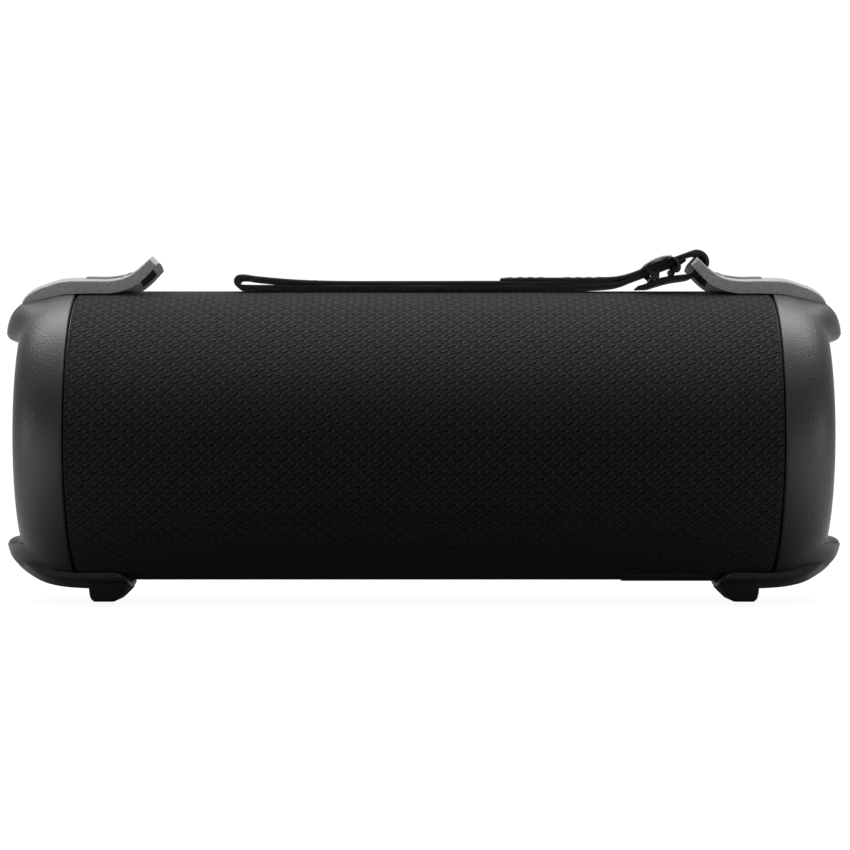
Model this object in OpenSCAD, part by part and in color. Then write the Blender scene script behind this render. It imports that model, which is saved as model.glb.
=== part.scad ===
// Portable waterproof barrel speaker with a fabric sleeve, end bumpers, strap horns and a hand strap.
// Millimetres. +X runs along the barrel, -Y faces the viewer, +Z is up. The feet stand on Z = 0 and
// the origin is the middle of the footprint. Helper outlines are given as [x, radius from the barrel's
// axis], or as [x, height above the axis] for flat extrusions, on the right-hand end.

/* [Barrel] */
// Height of the barrel's axis above the surface that the feet stand on
axis_h = 44.1; // [43.6:0.1:46]
// Outer radius of the fabric sleeve
fabric_r = 38.7; // [38.5:0.1:38.8]
// Half the length of the fabric sleeve
fabric_half = 92; // [91.6:0.1:92]
// Thickness of the fabric skin
fabric_t = 0.8; // [0.5:0.1:0.8]
// Wall of the perforated grille tube under the fabric
grille_t = 1.3; // [1:0.1:1.4]
// Wall of the sealed acoustic enclosure
shell_t = 2.2; // [1.6:0.1:2.6]
// Distance of the flat driver baffle in front of the axis
baffle_y = 24; // [23.5:0.1:24]

/* [End caps] */
// Largest radius of an end cap, at its joint with the fabric
cap_r = 38.9; // [38.8:0.1:39]
// Radius of the rounded outer edge of a cap
cap_edge_r = 31.9; // [31:0.1:32.5]
// Distance of a cap's outer edge from the middle
cap_edge_x = 105.8; // [105:0.1:107]
// Distance of the bumper lobes' tips from the middle
lobe_tip_x = 110.4; // [109:0.1:112]
// Height above the axis at which the upper lobe is cut straight
lobe_top_z = 24.4; // [24:0.1:26]
// Depth below the axis at which the lower lobe is cut straight
lobe_low_z = 26.4; // [24:0.1:27]

/* [Brackets and feet] */
// Width of a top bracket, from front to back
horn_w = 22; // [20:0.5:24]
// Width of a bottom bracket, from front to back
base_w = 30; // [27:0.5:32]
// Width of the strap slot in a horn
slot_w = 16.6; // [16:0.1:17]
// Radius of the bar that the strap hangs on
bar_r = 1.2; // [1:0.1:1.3]
// Width of a rubber foot, from front to back
foot_w = 25; // [20:0.5:26]

/* [Drivers and radiators] */
// Distance of each driver from the middle
driver_x = 46; // [44:0.5:48]
// Outer radius of a driver's mounting flange
driver_r = 25; // [24.5:0.1:25.1]
// Radius of a passive radiator's moving disc
disc_r = 19.8; // [18:0.1:20]

/* [Keys] */
// Angle of the key row above the horizontal, on the far side
key_angle = 62; // [60:0.5:64]
// Diameter of a key
key_d = 10; // [8:0.5:10.5]
// Distance between two keys
key_pitch = 16; // [14:0.5:16]
// How far a key travels
key_travel = 0.8; // [0.5:0.1:0.9]

/* [Sockets] */
// Tilt of the socket recess from straight down, towards the viewer
port_tilt = 4.5; // [0:0.5:6]
// Length of the socket cover along the barrel
cover_l = 24.2; // [23:0.1:24.4]
// Width of the socket cover round the barrel
cover_w = 17; // [15:0.1:17]

/* [Strap] */
// Width of the webbing
strap_w = 15; // [12:0.5:15]
// Thickness of one layer of webbing
strap_t = 1.1; // [0.9:0.05:1.2]

/* [Hidden] */
$fn = 96;
fine_fn = 48;                        // small round parts
hole_fn = 24;                        // perforations and screws
gap = 0.05;                          // clearance between fitted still parts

// Radii of the nested tubes
grille_r = fabric_r - fabric_t - gap;
shell_r = grille_r - grille_t - 0.2;
bore_r = shell_r - shell_t;
shell_half = 90;
seam_x = 92.3;                       // where the cap's lip meets the fabric, with a thin groove
gasket_t = 0.8;
boss_x = [-84, -3, 84];              // bosses that join the enclosure's halves
boss_in = 3.1;                       // from the bore to a boss's screw
boss_r = 3.4;
boss_front = 8;
boss_rear = 6;
join_screw_r = 1.2;

// End cap: an elliptical shoulder from the lip to the outer edge, over a hollow
lip_x = seam_x + 0.6;
function shoulder(a) = [lip_x + (cap_edge_x - lip_x) * sin(a),
                        cap_edge_r + (cap_r - cap_edge_r) * cos(a)];
recess_r = 28.4;                     // the end recess, at its floor
recess_x = 94.6;
cap_outline = concat(
    [[seam_x, cap_r - 0.7]],
    [for (a = [0 : 10 : 90]) shoulder(a)],
    [[cap_edge_x, cap_edge_r - 1], [cap_edge_x - 0.8, cap_edge_r - 1.7], [recess_x, recess_r],
     [recess_x, recess_r + 1.8], [101.8, 31.6], [99, 34.6], [95, 36.4], [seam_x, 36.6]]);

// Bumper lobe: grows out of the shoulder above and below the end recess
lobe_back_x = 97;
lobe_outline = [
    [lobe_back_x, 20], [lobe_back_x, 38.5], [99.7, 37.75], [104, 36.75], [106.4, 35.9],
    [107.6, 34.9], [108.8, 33.2], [109.6, 31.4], [110.2, 29.3] + [lobe_tip_x - 110.4, 0],
    [lobe_tip_x, 27.2], [lobe_tip_x, 20]];
lobe_plan = [
    [lobe_back_x - 1, 21], [cap_edge_x - 0.3, 20], [lobe_tip_x, 13],
    [lobe_tip_x, -13], [cap_edge_x - 0.3, -20], [lobe_back_x - 1, -21]];

// Top bracket: from the lobe over the cap, then turned up into a horn with the strap's bar
horn_outline = [
    [107.1, 37.3], [104.1, 39.4], [99.9, 41], [95.7, 42.2], [83.5, 42.3], [79, 43.1],
    [75.6, 45.3], [72.6, 48], [70.9, 46.2], [74.4, 42.6], [78, 40.3], [82.5, 39.6],
    [94, 39.2], [97, 38.8], [99.7, 38.1], [104, 37.05], [106.6, 36.2]];
bar_x = 72.6;
bar_z = 46.1;
horn_slope = 41;                     // angle of the turned-up horn
slot_end = 4.7;                      // from the bar to the end of the slot
rail_in = slot_w / 2;
pad_x = [81.5, 90];
pad_w = 15;

// Bottom bracket and its foot
base_outline = [
    [109, 33.7], [107.7, 35.2], [104.8, 37.2], [101.3, 39.3], [97, 40.5], [91.3, 41],
    [80, 41.1], [78.4, 40.6], [77.9, 39.9], [78.4, 39.25], [94, 39.2], [97, 38.8],
    [99.7, 38.1], [104, 37.05], [106.8, 35.8], [108.1, 34.4]];
foot_top_r = 41.1;
foot_outline = [
    [90, 38], [89.9, 41.3], [89.5, 43.4], [88.4, 44.1], [83.3, 44.1], [80.4, 41.4], [80.4, 38]];
foot_drop = axis_h - 44.1;           // a foot grows with the axis's height

// Screws that hold the brackets, from inside the cap
bracket_screw_x = 94.8;
bracket_screw_y = 6;
bracket_screw_r = 1.25;
bracket_head = [33.4, 34.7];
screw_head_r = 2.1;

// Passive radiator
frame_x = [90.9, 94.4];
frame_in_r = 26.6;
frame_ring_r = 29.4;
disc_x = 93.2;
radiator_screw_at = 31.4;            // radius of the ring of screws
radiator_screw_r = 1;
radiator_head_r = 1.8;
radiator_screw_x = 86.5;             // the screws' inner ends

// Driver stack: outlines of [radius, distance along +Y from the barrel's axis]
flange_t = 1.8;
magnet_front = 10;
driver_hole_r = 22.9;
driver_screw_at = 23.9;
driver_screw_r = 0.7;
driver_head_r = 0.95;
coil_r = [7.15, 7.75];
coil_y = [4, 15.1];
basket_outline = [
    [15.2, magnet_front + 0.02], [8.6, magnet_front + 0.02], [8.6, 11.2], [15, 11.2], [15, 12.6],
    [16.6, 12.6], [21.9, baffle_y - 1], [21.9, baffle_y + flange_t], [driver_r, baffle_y + flange_t],
    [driver_r, baffle_y + 0.03], [22.8, baffle_y + 0.03], [22.8, baffle_y - 1.4], [17.4, 11.2]];
magnet_outline = [
    [0, -3], [13.5, -3], [14, -2.5], [14, 0], [15, 0], [15, 7], [14, 7], [14, magnet_front],
    [8.2, magnet_front], [8.2, 7], [9.5, 7], [9.5, 0], [6.7, 0], [6.7, magnet_front], [0, magnet_front]];
cone_outline = [
    [0, 17.6], [4, 17.1], [7.8, 15.3], [19, 23.2], [19.1, 23.7], [18.4, 23.7], [8.2, 16.6],
    [4, 18.1], [0, 18.6]];
spider_outline = [
    [7.85, 12.7], [9.5, 13.4], [11, 12.7], [12.5, 13.4], [14, 12.8], [16, 12.8], [16, 13.1],
    [14, 13.1], [12.5, 13.8], [11, 13.1], [9.5, 13.8], [7.85, 13.1]];

// Electronics: places measured from the barrel's axis
cell_r = 9.2;
cell_y = -20;
cell_l = 65;
plate_x = [33.2, 35.2];              // end plates of the battery cradle
plate_front = -8.1;
board_l = 88;
board_w = 48;
board_t = 1.6;
board_y = -6;                        // rear face of the main board
chips = [                            // x, bottom, length, height and thickness of each chip
    [-30, 14, 9, 7, 1.2], [-6, 15, 12, 12, 1.6], [20, 14, 7, 7, 1.1], [-26, -16, 10, 8, 1.4]];
capacitor_at = [40, 18];
capacitor_r = 3;
capacitor_h = 3.2;
lead_r = 0.6;

// Key row: heights along the row's own outward direction
panel_half = 48;
panel_w = 13;
panel_r = 39.1;
panel_in_r = 36.6;
key_top = 39.9;
key_base = 35;
flange_top = 35.9;
flange_d = key_d + 1.6;
switch_top = key_base - key_travel - 0.1;
board_top = 32.1;
key_board_w = 11;
switch_w = 5.2;
switch_h = 1.2;
switch_r = 1.4;
led_r = 0.5;
led_x = [for (i = [0 : 3]) 39.6 + 2 * i];

// Socket recess, in a frame whose -Z points out through the cover
cover_x = 53.2;                      // the cover's end nearest the middle
cover_r = 39.05;
bezel_wall = 0.75;
cover_gap = 0.2;
well_floor = 33;
cover_t = 1.9;
rib_in = 1;                          // sealing rib under the cover, in from its edges
rib_r = 36.8;
hinge_y = cover_w / 2;               // the cover's hinge bead, along its far edge
hinge_z = -sqrt(cover_r * cover_r - hinge_y * hinge_y);
hinge_r = 0.6;
socket_front = -36.6;
usb_x = cover_x + 8;
aux_x = cover_x + 18.4;

// Strap: outline of the doubled webbing lying on the barrel, [x, height above the axis]
strap_low = fabric_r + 0.3;
wrap_r = 4.15;                       // outside of the turn round the bar
lift = 22;                           // slope of the straight stretch up to the bar
rise = tan(lift);
pair_t = 2 * strap_t + 0.1;          // two layers together
top_tan = [bar_x - wrap_r * sin(lift), bar_z + wrap_r * cos(lift)];
function top_line(x) = top_tan[1] - rise * (top_tan[0] - x);
function low_line(x) = top_line(x) - pair_t / cos(lift);
straight_x = 54.5;
into_wrap = 0.4 * [cos(lift), sin(lift)];   // run of the straight stretch into the turn
strap_outline = [
    top_tan + into_wrap, [straight_x, top_line(straight_x)], [49.5, 42.35], [44, 42], [28, 41.9],
    [20, strap_low + 2.15], [-20, strap_low + 2.1], [-36, 41.6], [-44, 42.3], [-48, 42.9],
    [-50, 42.4], [-50.6, 41.2], [-50.2, 39.8], [-49, strap_low], [36.5, strap_low],
    [46, 39.6], [straight_x, low_line(straight_x)], [69.3, low_line(69.3)],
    top_tan + into_wrap - strap_t * [-sin(lift), cos(lift)]];
fold_opening = [
    [-31, 40.2], [-38, 40.9], [-44, 41.5], [-48, 41.9], [-49.1, 41.2], [-48.8, 40], [-40, 40]];
tail_outline = [
    [bar_x + 0.4, bar_z - wrap_r + strap_t], [66.2, 42.8], [62.9, 41.55], [57.9, 40], [56.6, 39.3],
    [58, strap_low], [61.5, 39.3], [66, 40.9], [70, 41.8], [bar_x + 0.4, bar_z - wrap_r + 0.02]];

// Slider: an arched plate over the doubled webbing and two bars under it
slider_x = 63.2;
slider_half = 9.5;
slider_wall = 1.5;
slider_bar_r = 0.8;
slider_bar_n = -pair_t - slider_bar_r - 0.15;
slider_bar_s = 2.8;
arch_outline = [
    [-5.2, 0.2], [-4.6, 0.62], [-3, 1.15], [-1, 1.4], [1, 1.3], [2.5, 0.75], [2.9, 0.2]];

plastic = [0.10, 0.10, 0.105];
dark_plastic = [0.07, 0.07, 0.075];
rubber = [0.05, 0.05, 0.05];
steel = [0.62, 0.63, 0.65];
board_green = [0.05, 0.24, 0.13];

// ---- placing ----------------------------------------------------------------------------------

module on_axis() translate([0, 0, axis_h]) children();

// Puts a right-hand shape at the right end, or mirrors it to the left end
module at_end(side) on_axis() {
    if (side < 0) mirror([1, 0, 0]) children();
    else children();
}

// Turns an outline of [x, radius] points round the barrel's axis
module turned(outline) rotate([0, 90, 0]) rotate_extrude() polygon([for (p = outline) [p[1], p[0]]]);

// Extrudes an outline of [x, height] points from front to back
module flat(outline, width) translate([0, width / 2, 0]) rotate([90, 0, 0]) linear_extrude(width)
    polygon(outline);

module tube_x(r_out, r_in, x0, x1) turned([[x0, r_in], [x1, r_in], [x1, r_out], [x0, r_out]]);

module at_driver(side) on_axis() translate([side * driver_x, 0, 0]) rotate([-90, 0, 0]) children();

module at_keys() on_axis() rotate([-(90 - key_angle), 0, 0]) children();

module at_port() on_axis() rotate([-port_tilt, 0, 0]) children();

module in_strap_frame() on_axis() translate([slider_x, 0, top_line(slider_x)]) rotate([0, -lift, 0])
    children();

// ---- openings cut through the sleeve and the tube ----------------------------------------------

module key_window(margin) at_keys()
    translate([-panel_half - margin, -panel_w / 2 - margin, 30])
    cube([2 * (panel_half + margin), panel_w + 2 * margin, 12]);

module port_window(margin) at_port()
    translate([cover_x - margin, -cover_w / 2 - margin, -42])
    cube([cover_l + 2 * margin, cover_w + 2 * margin, 14]);

// ---- barrel -----------------------------------------------------------------------------------

module fabric_sleeve() color([0.03, 0.03, 0.035]) difference() {
    on_axis() tube_x(fabric_r, fabric_r - fabric_t, -fabric_half, fabric_half);
    key_window(gap);
    port_window(bezel_wall + cover_gap + gap);
}

// Rows of round holes in front of each driver
module perforations() for (side = [-1, 1], turn = [-33 : 11 : 33], step = [-3 : 3])
    rotate([turn, 0, 0]) translate([side * driver_x + step * 7 + (turn / 11 % 2) * 3.5, 0, 0])
    rotate([-90, 0, 0]) translate([0, 0, 30]) cylinder(r = 2.2, h = 12, $fn = hole_fn);

module grille_tube() color(dark_plastic) difference() {
    on_axis() difference() {
        tube_x(grille_r, grille_r - grille_t, -fabric_half, fabric_half);
        perforations();
    }
    key_window(gap);
    port_window(bezel_wall + cover_gap + gap);
}

// Section of the sealed enclosure: round, with a flat driver baffle in front
module shell_section() difference() {
    intersection() {
        circle(r = shell_r);
        translate([-shell_r, -shell_r]) square([2 * shell_r, shell_r + baffle_y]);
    }
    intersection() {
        circle(r = bore_r);
        translate([-bore_r, -bore_r]) square([2 * bore_r, bore_r + baffle_y - shell_t]);
    }
}

// The section runs from y0 to y1 across the barrel
module shell_part(y0, y1) on_axis() translate([-shell_half, 0, 0]) rotate([90, 0, 90])
    linear_extrude(2 * shell_half) rotate(-90) intersection() {
        mirror([1, 0]) shell_section();
        translate([-shell_r - 1, y0]) square([2 * shell_r + 2, y1 - y0]);
    }

module driver_holes(r) for (side = [-1, 1]) at_driver(side) translate([0, 0, baffle_y - 5])
    cylinder(r = r, h = 8);

module driver_screw_places() for (side = [-1, 1]) at_driver(side)
    for (a = [45 : 90 : 315]) rotate(a) translate([driver_screw_at, 0, 0]) children();

// Places of the joining screws, in a frame whose +Z points to the rear
module join_places() on_axis() for (x = boss_x, up = [-1, 1])
    translate([x, 0, up * (bore_r - boss_in)]) rotate([90, 0, 0]) children();

module join_holes() join_places() translate([0, 0, 0.7 - boss_front])
    cylinder(r = join_screw_r + gap, h = boss_front + boss_rear, $fn = hole_fn);

module radiator_screw_places(turns = [45 : 90 : 315]) for (a = turns) rotate([a, 0, 0])
    translate([0, 0, radiator_screw_at]) rotate([0, 90, 0]) children();

// Bosses for the radiators' screws, inside each end of one half of the enclosure
module radiator_bosses(turns) for (side = [-1, 1]) at_end(side) radiator_screw_places(turns)
    translate([0, 0, shell_half - 7]) cylinder(r = boss_r, h = 7, $fn = fine_fn);

module radiator_holes() for (side = [-1, 1]) at_end(side) radiator_screw_places()
    translate([0, 0, shell_half - 4]) cylinder(r = radiator_screw_r + gap, h = 5, $fn = hole_fn);

module enclosure_front() color(plastic) difference() {
    union() {
        shell_part(gasket_t / 2, shell_r);
        join_places() translate([0, 0, -boss_front])
            cylinder(r = boss_r, h = boss_front - gasket_t / 2, $fn = fine_fn);
        radiator_bosses([225, 315]);
    }
    join_holes();
    radiator_holes();
    driver_holes(driver_hole_r);
    key_window(gap);
    port_window(bezel_wall + cover_gap + gap);
    driver_screw_places() translate([0, 0, baffle_y - 3])
        cylinder(r = driver_screw_r + gap, h = 6, $fn = hole_fn);
}

module enclosure_rear() color(plastic) difference() {
    union() {
        shell_part(-shell_r, -gasket_t / 2);
        join_places() translate([0, 0, gasket_t / 2])
            cylinder(r = boss_r, h = boss_rear - gasket_t / 2, $fn = fine_fn);
        radiator_bosses([45, 135]);
    }
    join_holes();
    radiator_holes();
    port_window(bezel_wall + cover_gap + gap);
}

module enclosure_gasket() color(rubber) difference() {
    shell_part(-gasket_t / 2 + 0.02, gasket_t / 2 - 0.02);
    port_window(bezel_wall + cover_gap + gap);
}

// Six screws in bosses pull the enclosure's halves together
module enclosure_screws() color(steel) join_places() {
    translate([0, 0, 1 - boss_front]) cylinder(r = join_screw_r, h = boss_front + boss_rear - 1,
                                               $fn = hole_fn);
    translate([0, 0, boss_rear + gap]) cylinder(r = screw_head_r, h = 1.4, $fn = hole_fn);
}

// ---- end caps ---------------------------------------------------------------------------------

module lobe(up, cut) intersection() {
    turned(lobe_outline);
    translate([0, 0, up > 0 ? cut : -cut - 20]) linear_extrude(20) polygon(lobe_plan);
}

module bracket_screw_places() for (up = [-1, 1], y = [-bracket_screw_y, bracket_screw_y])
    rotate([up > 0 ? -asin(y / 38) : 180 - asin(y / 38), 0, 0]) translate([bracket_screw_x, 0, 0])
    children();

module end_cap(side) color(plastic) at_end(side) difference() {
    union() {
        turned(cap_outline);
        lobe(1, lobe_top_z);
        lobe(-1, lobe_low_z);
    }
    bracket_screw_places() translate([0, 0, 33]) cylinder(r = bracket_screw_r + gap, h = 8, $fn = hole_fn);
}

module end_seal(side) color(rubber) at_end(side)
    tube_x(shell_r - 0.2, bore_r + 0.2, shell_half + 0.03, frame_x[0] - 0.03);

// ---- passive radiators ------------------------------------------------------------------------

module radiator_frame(side) color(dark_plastic) at_end(side) difference() {
    union() {
        tube_x(shell_r - 0.2, 28.2, frame_x[0], seam_x - 0.1);
        tube_x(frame_ring_r, frame_in_r, frame_x[0], frame_x[1]);
    }
    radiator_screw_places() translate([0, 0, frame_x[0] - 1])
        cylinder(r = radiator_screw_r + gap, h = 6, $fn = hole_fn);
}

// Half-roll rubber ring between the frame and the disc
module radiator_surround(side) color(rubber) at_end(side) {
    mid = (frame_in_r + disc_r) / 2;
    roll = (frame_in_r - disc_r) / 2 - 0.1;
    turned(concat(
        [for (a = [0 : 15 : 180]) [disc_x + (roll - 0.9) * sin(a), mid + roll * cos(a)]],
        [for (a = [180 : -15 : 0]) [disc_x - 0.6 + (roll - 0.9) * sin(a), mid + (roll - 0.5) * cos(a)]]));
}

module radiator_disc(side) color([0.16, 0.16, 0.17]) at_end(side) turned([
    [disc_x - 1.2, 0], [disc_x + 1.4, 0], [disc_x + 1.4, 11], [disc_x + 0.8, 12.5],
    [disc_x + 0.8, disc_r - 1], [disc_x + 0.3, disc_r - 0.1], [disc_x - 1.2, disc_r - 0.1]]);

module radiator_screws() color(steel) for (side = [-1, 1]) at_end(side) radiator_screw_places() {
    translate([0, 0, radiator_screw_x])
        cylinder(r = radiator_screw_r, h = seam_x - radiator_screw_x, $fn = hole_fn);
    translate([0, 0, seam_x - gap]) cylinder(r = radiator_head_r, h = 1.2, $fn = hole_fn);
}

// ---- drivers, each in a frame whose +Z is its front --------------------------------------------

module round_ring(r_out, r_in, z0, z1) translate([0, 0, z0]) difference() {
    cylinder(r = r_out, h = z1 - z0);
    translate([0, 0, -1]) cylinder(r = r_in, h = z1 - z0 + 2);
}

module driver_basket(side) color(steel) at_driver(side) difference() {
    rotate_extrude() polygon(basket_outline);
    for (a = [45 : 90 : 315]) rotate(a) translate([driver_screw_at, 0, baffle_y - 1])
        cylinder(r = driver_screw_r + 2 * gap, h = 4, $fn = hole_fn);
    for (a = [0 : 90 : 270]) rotate(a) translate([17, -5, 12.9]) cube([8, 10, 6]);
}

// Yoke with its pole, ring magnet and front plate
module driver_magnet(side) color([0.25, 0.25, 0.27]) at_driver(side) rotate_extrude()
    polygon(magnet_outline);

module driver_surround(side) color(rubber) at_driver(side) rotate_extrude() polygon(concat(
    [for (a = [0 : 20 : 180]) [20.5 + 1.3 * cos(a), baffle_y - 0.4 + 1.5 * sin(a)]],
    [for (a = [180 : -20 : 0]) [20.5 + 0.9 * cos(a), baffle_y - 0.8 + 1.3 * sin(a)]]));

module driver_cone(side) color([0.12, 0.12, 0.13]) at_driver(side) rotate_extrude()
    polygon(cone_outline);

module voice_coil(side) color([0.72, 0.45, 0.2]) at_driver(side)
    round_ring(coil_r[1], coil_r[0], coil_y[0], coil_y[1]);

module driver_spider(side) color([0.75, 0.6, 0.3]) at_driver(side) rotate_extrude()
    polygon(spider_outline);

module driver_screws() color(steel) driver_screw_places() {
    translate([0, 0, baffle_y - 2.4])
        cylinder(r = driver_screw_r, h = flange_t + 2.4, $fn = hole_fn);
    translate([0, 0, baffle_y + flange_t + 0.03]) cylinder(r = driver_head_r, h = 0.5, $fn = hole_fn);
}

// ---- electronics ------------------------------------------------------------------------------

module battery_cells() color([0.15, 0.35, 0.6]) on_axis() for (up = [-1, 1])
    translate([-cell_l / 2, cell_y, up * (cell_r + 0.4)]) rotate([0, 90, 0]) {
        cylinder(r = cell_r, h = cell_l);
        translate([0, 0, cell_l]) cylinder(r = 3, h = 0.4, $fn = fine_fn);
    }

// Two end plates joined by a bar that keeps the cells against the rear shell
module battery_cradle() color(dark_plastic) on_axis() {
    for (side = [-1, 1]) intersection() {
        translate([side > 0 ? plate_x[0] : -plate_x[1], 0, 0]) rotate([0, 90, 0])
            cylinder(r = bore_r - 0.1, h = plate_x[1] - plate_x[0]);
        translate([-40, plate_front - 27, -20]) cube([80, 27, 40]);
    }
    translate([-plate_x[0] - 1, plate_front - 1.5, -4]) cube([2 * plate_x[0] + 2, 1.5, 8]);
}

module main_board() color(board_green) on_axis() translate([-board_l / 2, board_y, -board_w / 2])
    cube([board_l, board_t, board_w]);

// Amplifier, radio, charger, inductors and capacitors on the board's rear face
module board_parts() color([0.08, 0.08, 0.09]) on_axis() translate([0, board_y - 0.02, 0]) {
    for (c = chips) translate([c[0], -c[4], c[1] - c[3] / 2]) cube([c[2], c[4], c[3]]);
    for (side = [-1, 1], up = [-1, 1]) translate([side * capacitor_at[0], 0, up * capacitor_at[1]])
        rotate([90, 0, 0]) cylinder(r = capacitor_r, h = capacitor_h, $fn = fine_fn);
}

// A soft wire cut to length
module lead(a, b) {
    v = b - a;
    translate(a) rotate([0, acos(v[2] / norm(v)), atan2(v[1], v[0])])
        cylinder(r = lead_r, h = norm(v), $fn = hole_fn);
}

// Two leads to each driver, and one from each cell's end to the board
module wiring() color([0.7, 0.1, 0.1]) on_axis() {
    for (side = [-1, 1], y = [0, 2.5])
        lead([side * (25 + y), board_y + board_t + 0.5, -19], [side * (29.5 + y), 11, -10.5 - y]);
    for (up = [-1, 1]) lead([38, board_y - 0.3, up * 6],
                            [plate_x[1] + lead_r + 0.2, cell_y, up * (cell_r + 0.4)]);
}

module key_board() color(board_green) at_keys()
    translate([-panel_half + 2, -key_board_w / 2, board_top - board_t])
    cube([2 * panel_half - 4, key_board_w, board_t]);

module key_switches() color([0.75, 0.75, 0.78]) at_keys() for (i = [-2 : 2])
    translate([i * key_pitch, 0, board_top + 0.02]) {
        translate([-switch_w / 2, -switch_w / 2, 0]) cube([switch_w, switch_w, switch_h]);
        cylinder(r = switch_r, h = switch_top - board_top - 0.02, $fn = fine_fn);
    }

module port_board() color(board_green) at_port() translate([cover_x + 1, -7, -29.4])
    cube([cover_l - 2, 14, board_t]);

// A slab in the socket recess, centred on its own place
module plug_slot(l, w, z0, z1) translate([-l / 2, -w / 2, z0]) cube([l, w, z1 - z0]);

module usb_socket() color(steel) at_port() translate([usb_x, 0, socket_front]) difference() {
    plug_slot(9.2, 3.4, 0, 7.1);
    plug_slot(8.4, 2.6, -1, 5.5);
}

module aux_socket() color(rubber) at_port() translate([aux_x, 0, socket_front]) difference() {
    union() {
        plug_slot(6.4, 6.4, 4.8, 7.1);
        cylinder(r = 2.9, h = 5, $fn = fine_fn);
    }
    translate([0, 0, -1]) cylinder(r = 1.8, h = 7.2, $fn = fine_fn);
}

// ---- socket recess and its cover ---------------------------------------------------------------

module port_block(margin, r0, r1) intersection() {
    tube_x(r1, r0, cover_x - margin, cover_x + cover_l + margin);
    translate([0, -cover_w / 2 - margin, -45]) cube([120, cover_w + 2 * margin, 45]);
}

module port_bezel() color(rubber) at_port() difference() {
    intersection() {
        rotate([0, 90, 0]) cylinder(r = fabric_r, h = 120);
        translate([cover_x - bezel_wall - cover_gap, -cover_w / 2 - bezel_wall - cover_gap, -45])
            cube([cover_l + 2 * (bezel_wall + cover_gap), cover_w + 2 * (bezel_wall + cover_gap),
                  45 - well_floor + 1]);
    }
    translate([cover_x - cover_gap, -cover_w / 2 - cover_gap, -45])
        cube([cover_l + 2 * cover_gap, cover_w + 2 * cover_gap, 45 - well_floor]);
    translate([usb_x, 0, 0]) plug_slot(9.4, 3.6, -40, -28);
    translate([aux_x, 0, -40]) cylinder(r = 3, h = 12, $fn = fine_fn);
    hinge_bead(hinge_r + 2 * gap, cover_gap);
}

// Round bead along the cover's far edge, on the line that the cover turns about
module hinge_bead(r, margin) translate([cover_x - margin, hinge_y, hinge_z]) rotate([0, 90, 0])
    cylinder(r = r, h = cover_l + 2 * margin, $fn = fine_fn);

// Soft cover: a curved lid with a sealing rib, hinged along its far edge
module port_cover() color(rubber) at_port() {
    port_block(0, cover_r - cover_t, cover_r);
    hinge_bead(hinge_r, 0);
    difference() {
        port_block(-rib_in, rib_r, cover_r - cover_t + 0.1);
        port_block(-2 * rib_in, rib_r - 1, cover_r);
    }
}

// ---- keys -------------------------------------------------------------------------------------

module panel_block(margin, r0, r1) intersection() {
    tube_x(r1, r0, -panel_half - margin, panel_half + margin);
    translate([-60, -panel_w / 2 - margin, 0]) cube([120, panel_w + 2 * margin, 45]);
}

module key_panel() color(rubber) at_keys() difference() {
    panel_block(0, panel_in_r, panel_r);
    for (i = [-2 : 2]) translate([i * key_pitch, 0, 30]) cylinder(d = key_d + 0.5, h = 12, $fn = fine_fn);
    for (x = led_x) translate([x, 0, 30]) cylinder(r = led_r + gap, h = 12, $fn = hole_fn);
}

// Key cap with a flange that holds it under the panel, and its raised symbol
module key(i) color([0.13, 0.13, 0.135]) at_keys() translate([i * key_pitch, 0, 0]) {
    translate([0, 0, key_base]) cylinder(d = flange_d, h = flange_top - key_base, $fn = fine_fn);
    translate([0, 0, key_base]) cylinder(d = key_d, h = key_top - key_base, $fn = fine_fn);
    translate([0, 0, key_top - 0.1]) linear_extrude(0.35) children();
}

module bar_mark(l) square([l, 0.8], center = true);

module power_key() key(-2) {
    difference() {
        circle(r = 2.4, $fn = fine_fn);
        circle(r = 1.7, $fn = fine_fn);
        translate([-0.9, 0]) square([1.8, 4]);
    }
    translate([-0.35, 0.2]) square([0.7, 2.6]);
}

module pair_key() key(-1) for (r = [1, 2.6]) difference() {
    circle(r = r, $fn = fine_fn);
    circle(r = r - 0.7, $fn = fine_fn);
}

module minus_key() key(0) bar_mark(4);

module play_key() key(1) polygon([[-1.6, -2.1], [2.2, 0], [-1.6, 2.1]]);

module plus_key() key(2) {
    bar_mark(4);
    rotate(90) bar_mark(4);
}

module status_leds() color([0.9, 0.9, 0.85]) at_keys() for (x = led_x)
    translate([x, 0, board_top + 0.02]) cylinder(r = led_r, h = panel_r - board_top, $fn = hole_fn);

// ---- brackets, pads and feet -------------------------------------------------------------------

module slab(width) translate([0, -width / 2, 0]) cube([130, width, 60]);

module horn_slot() translate([bar_x, 0, bar_z]) rotate([0, horn_slope, 0])
    translate([-6, -rail_in, -6]) cube([6 + slot_end, 2 * rail_in, 12]);

module pad_block(margin, r0, r1) intersection() {
    tube_x(r1, r0, pad_x[0] - margin, pad_x[1] + margin);
    slab(pad_w + 2 * margin);
}

module top_bracket(side) color(plastic) at_end(side) {
    difference() {
        intersection() {
            turned(horn_outline);
            slab(horn_w);
        }
        horn_slot();
        pad_block(0.03, 41.7, 50);
        bracket_screw_places() cylinder(r = bracket_screw_r + gap, h = 40.7, $fn = hole_fn);
    }
    translate([bar_x, rail_in + 0.6, bar_z]) rotate([90, 0, 0])
        cylinder(r = bar_r, h = 2 * rail_in + 1.2, $fn = fine_fn);
}

module bracket_pad(side) color(rubber) at_end(side) pad_block(0, 41.73, 42.95);

module bottom_bracket(side) color(plastic) at_end(side) difference() {
    intersection() {
        turned(base_outline);
        mirror([0, 0, 1]) slab(base_w);
    }
    bracket_screw_places() cylinder(r = bracket_screw_r + gap, h = 40.2, $fn = hole_fn);
}

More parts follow.
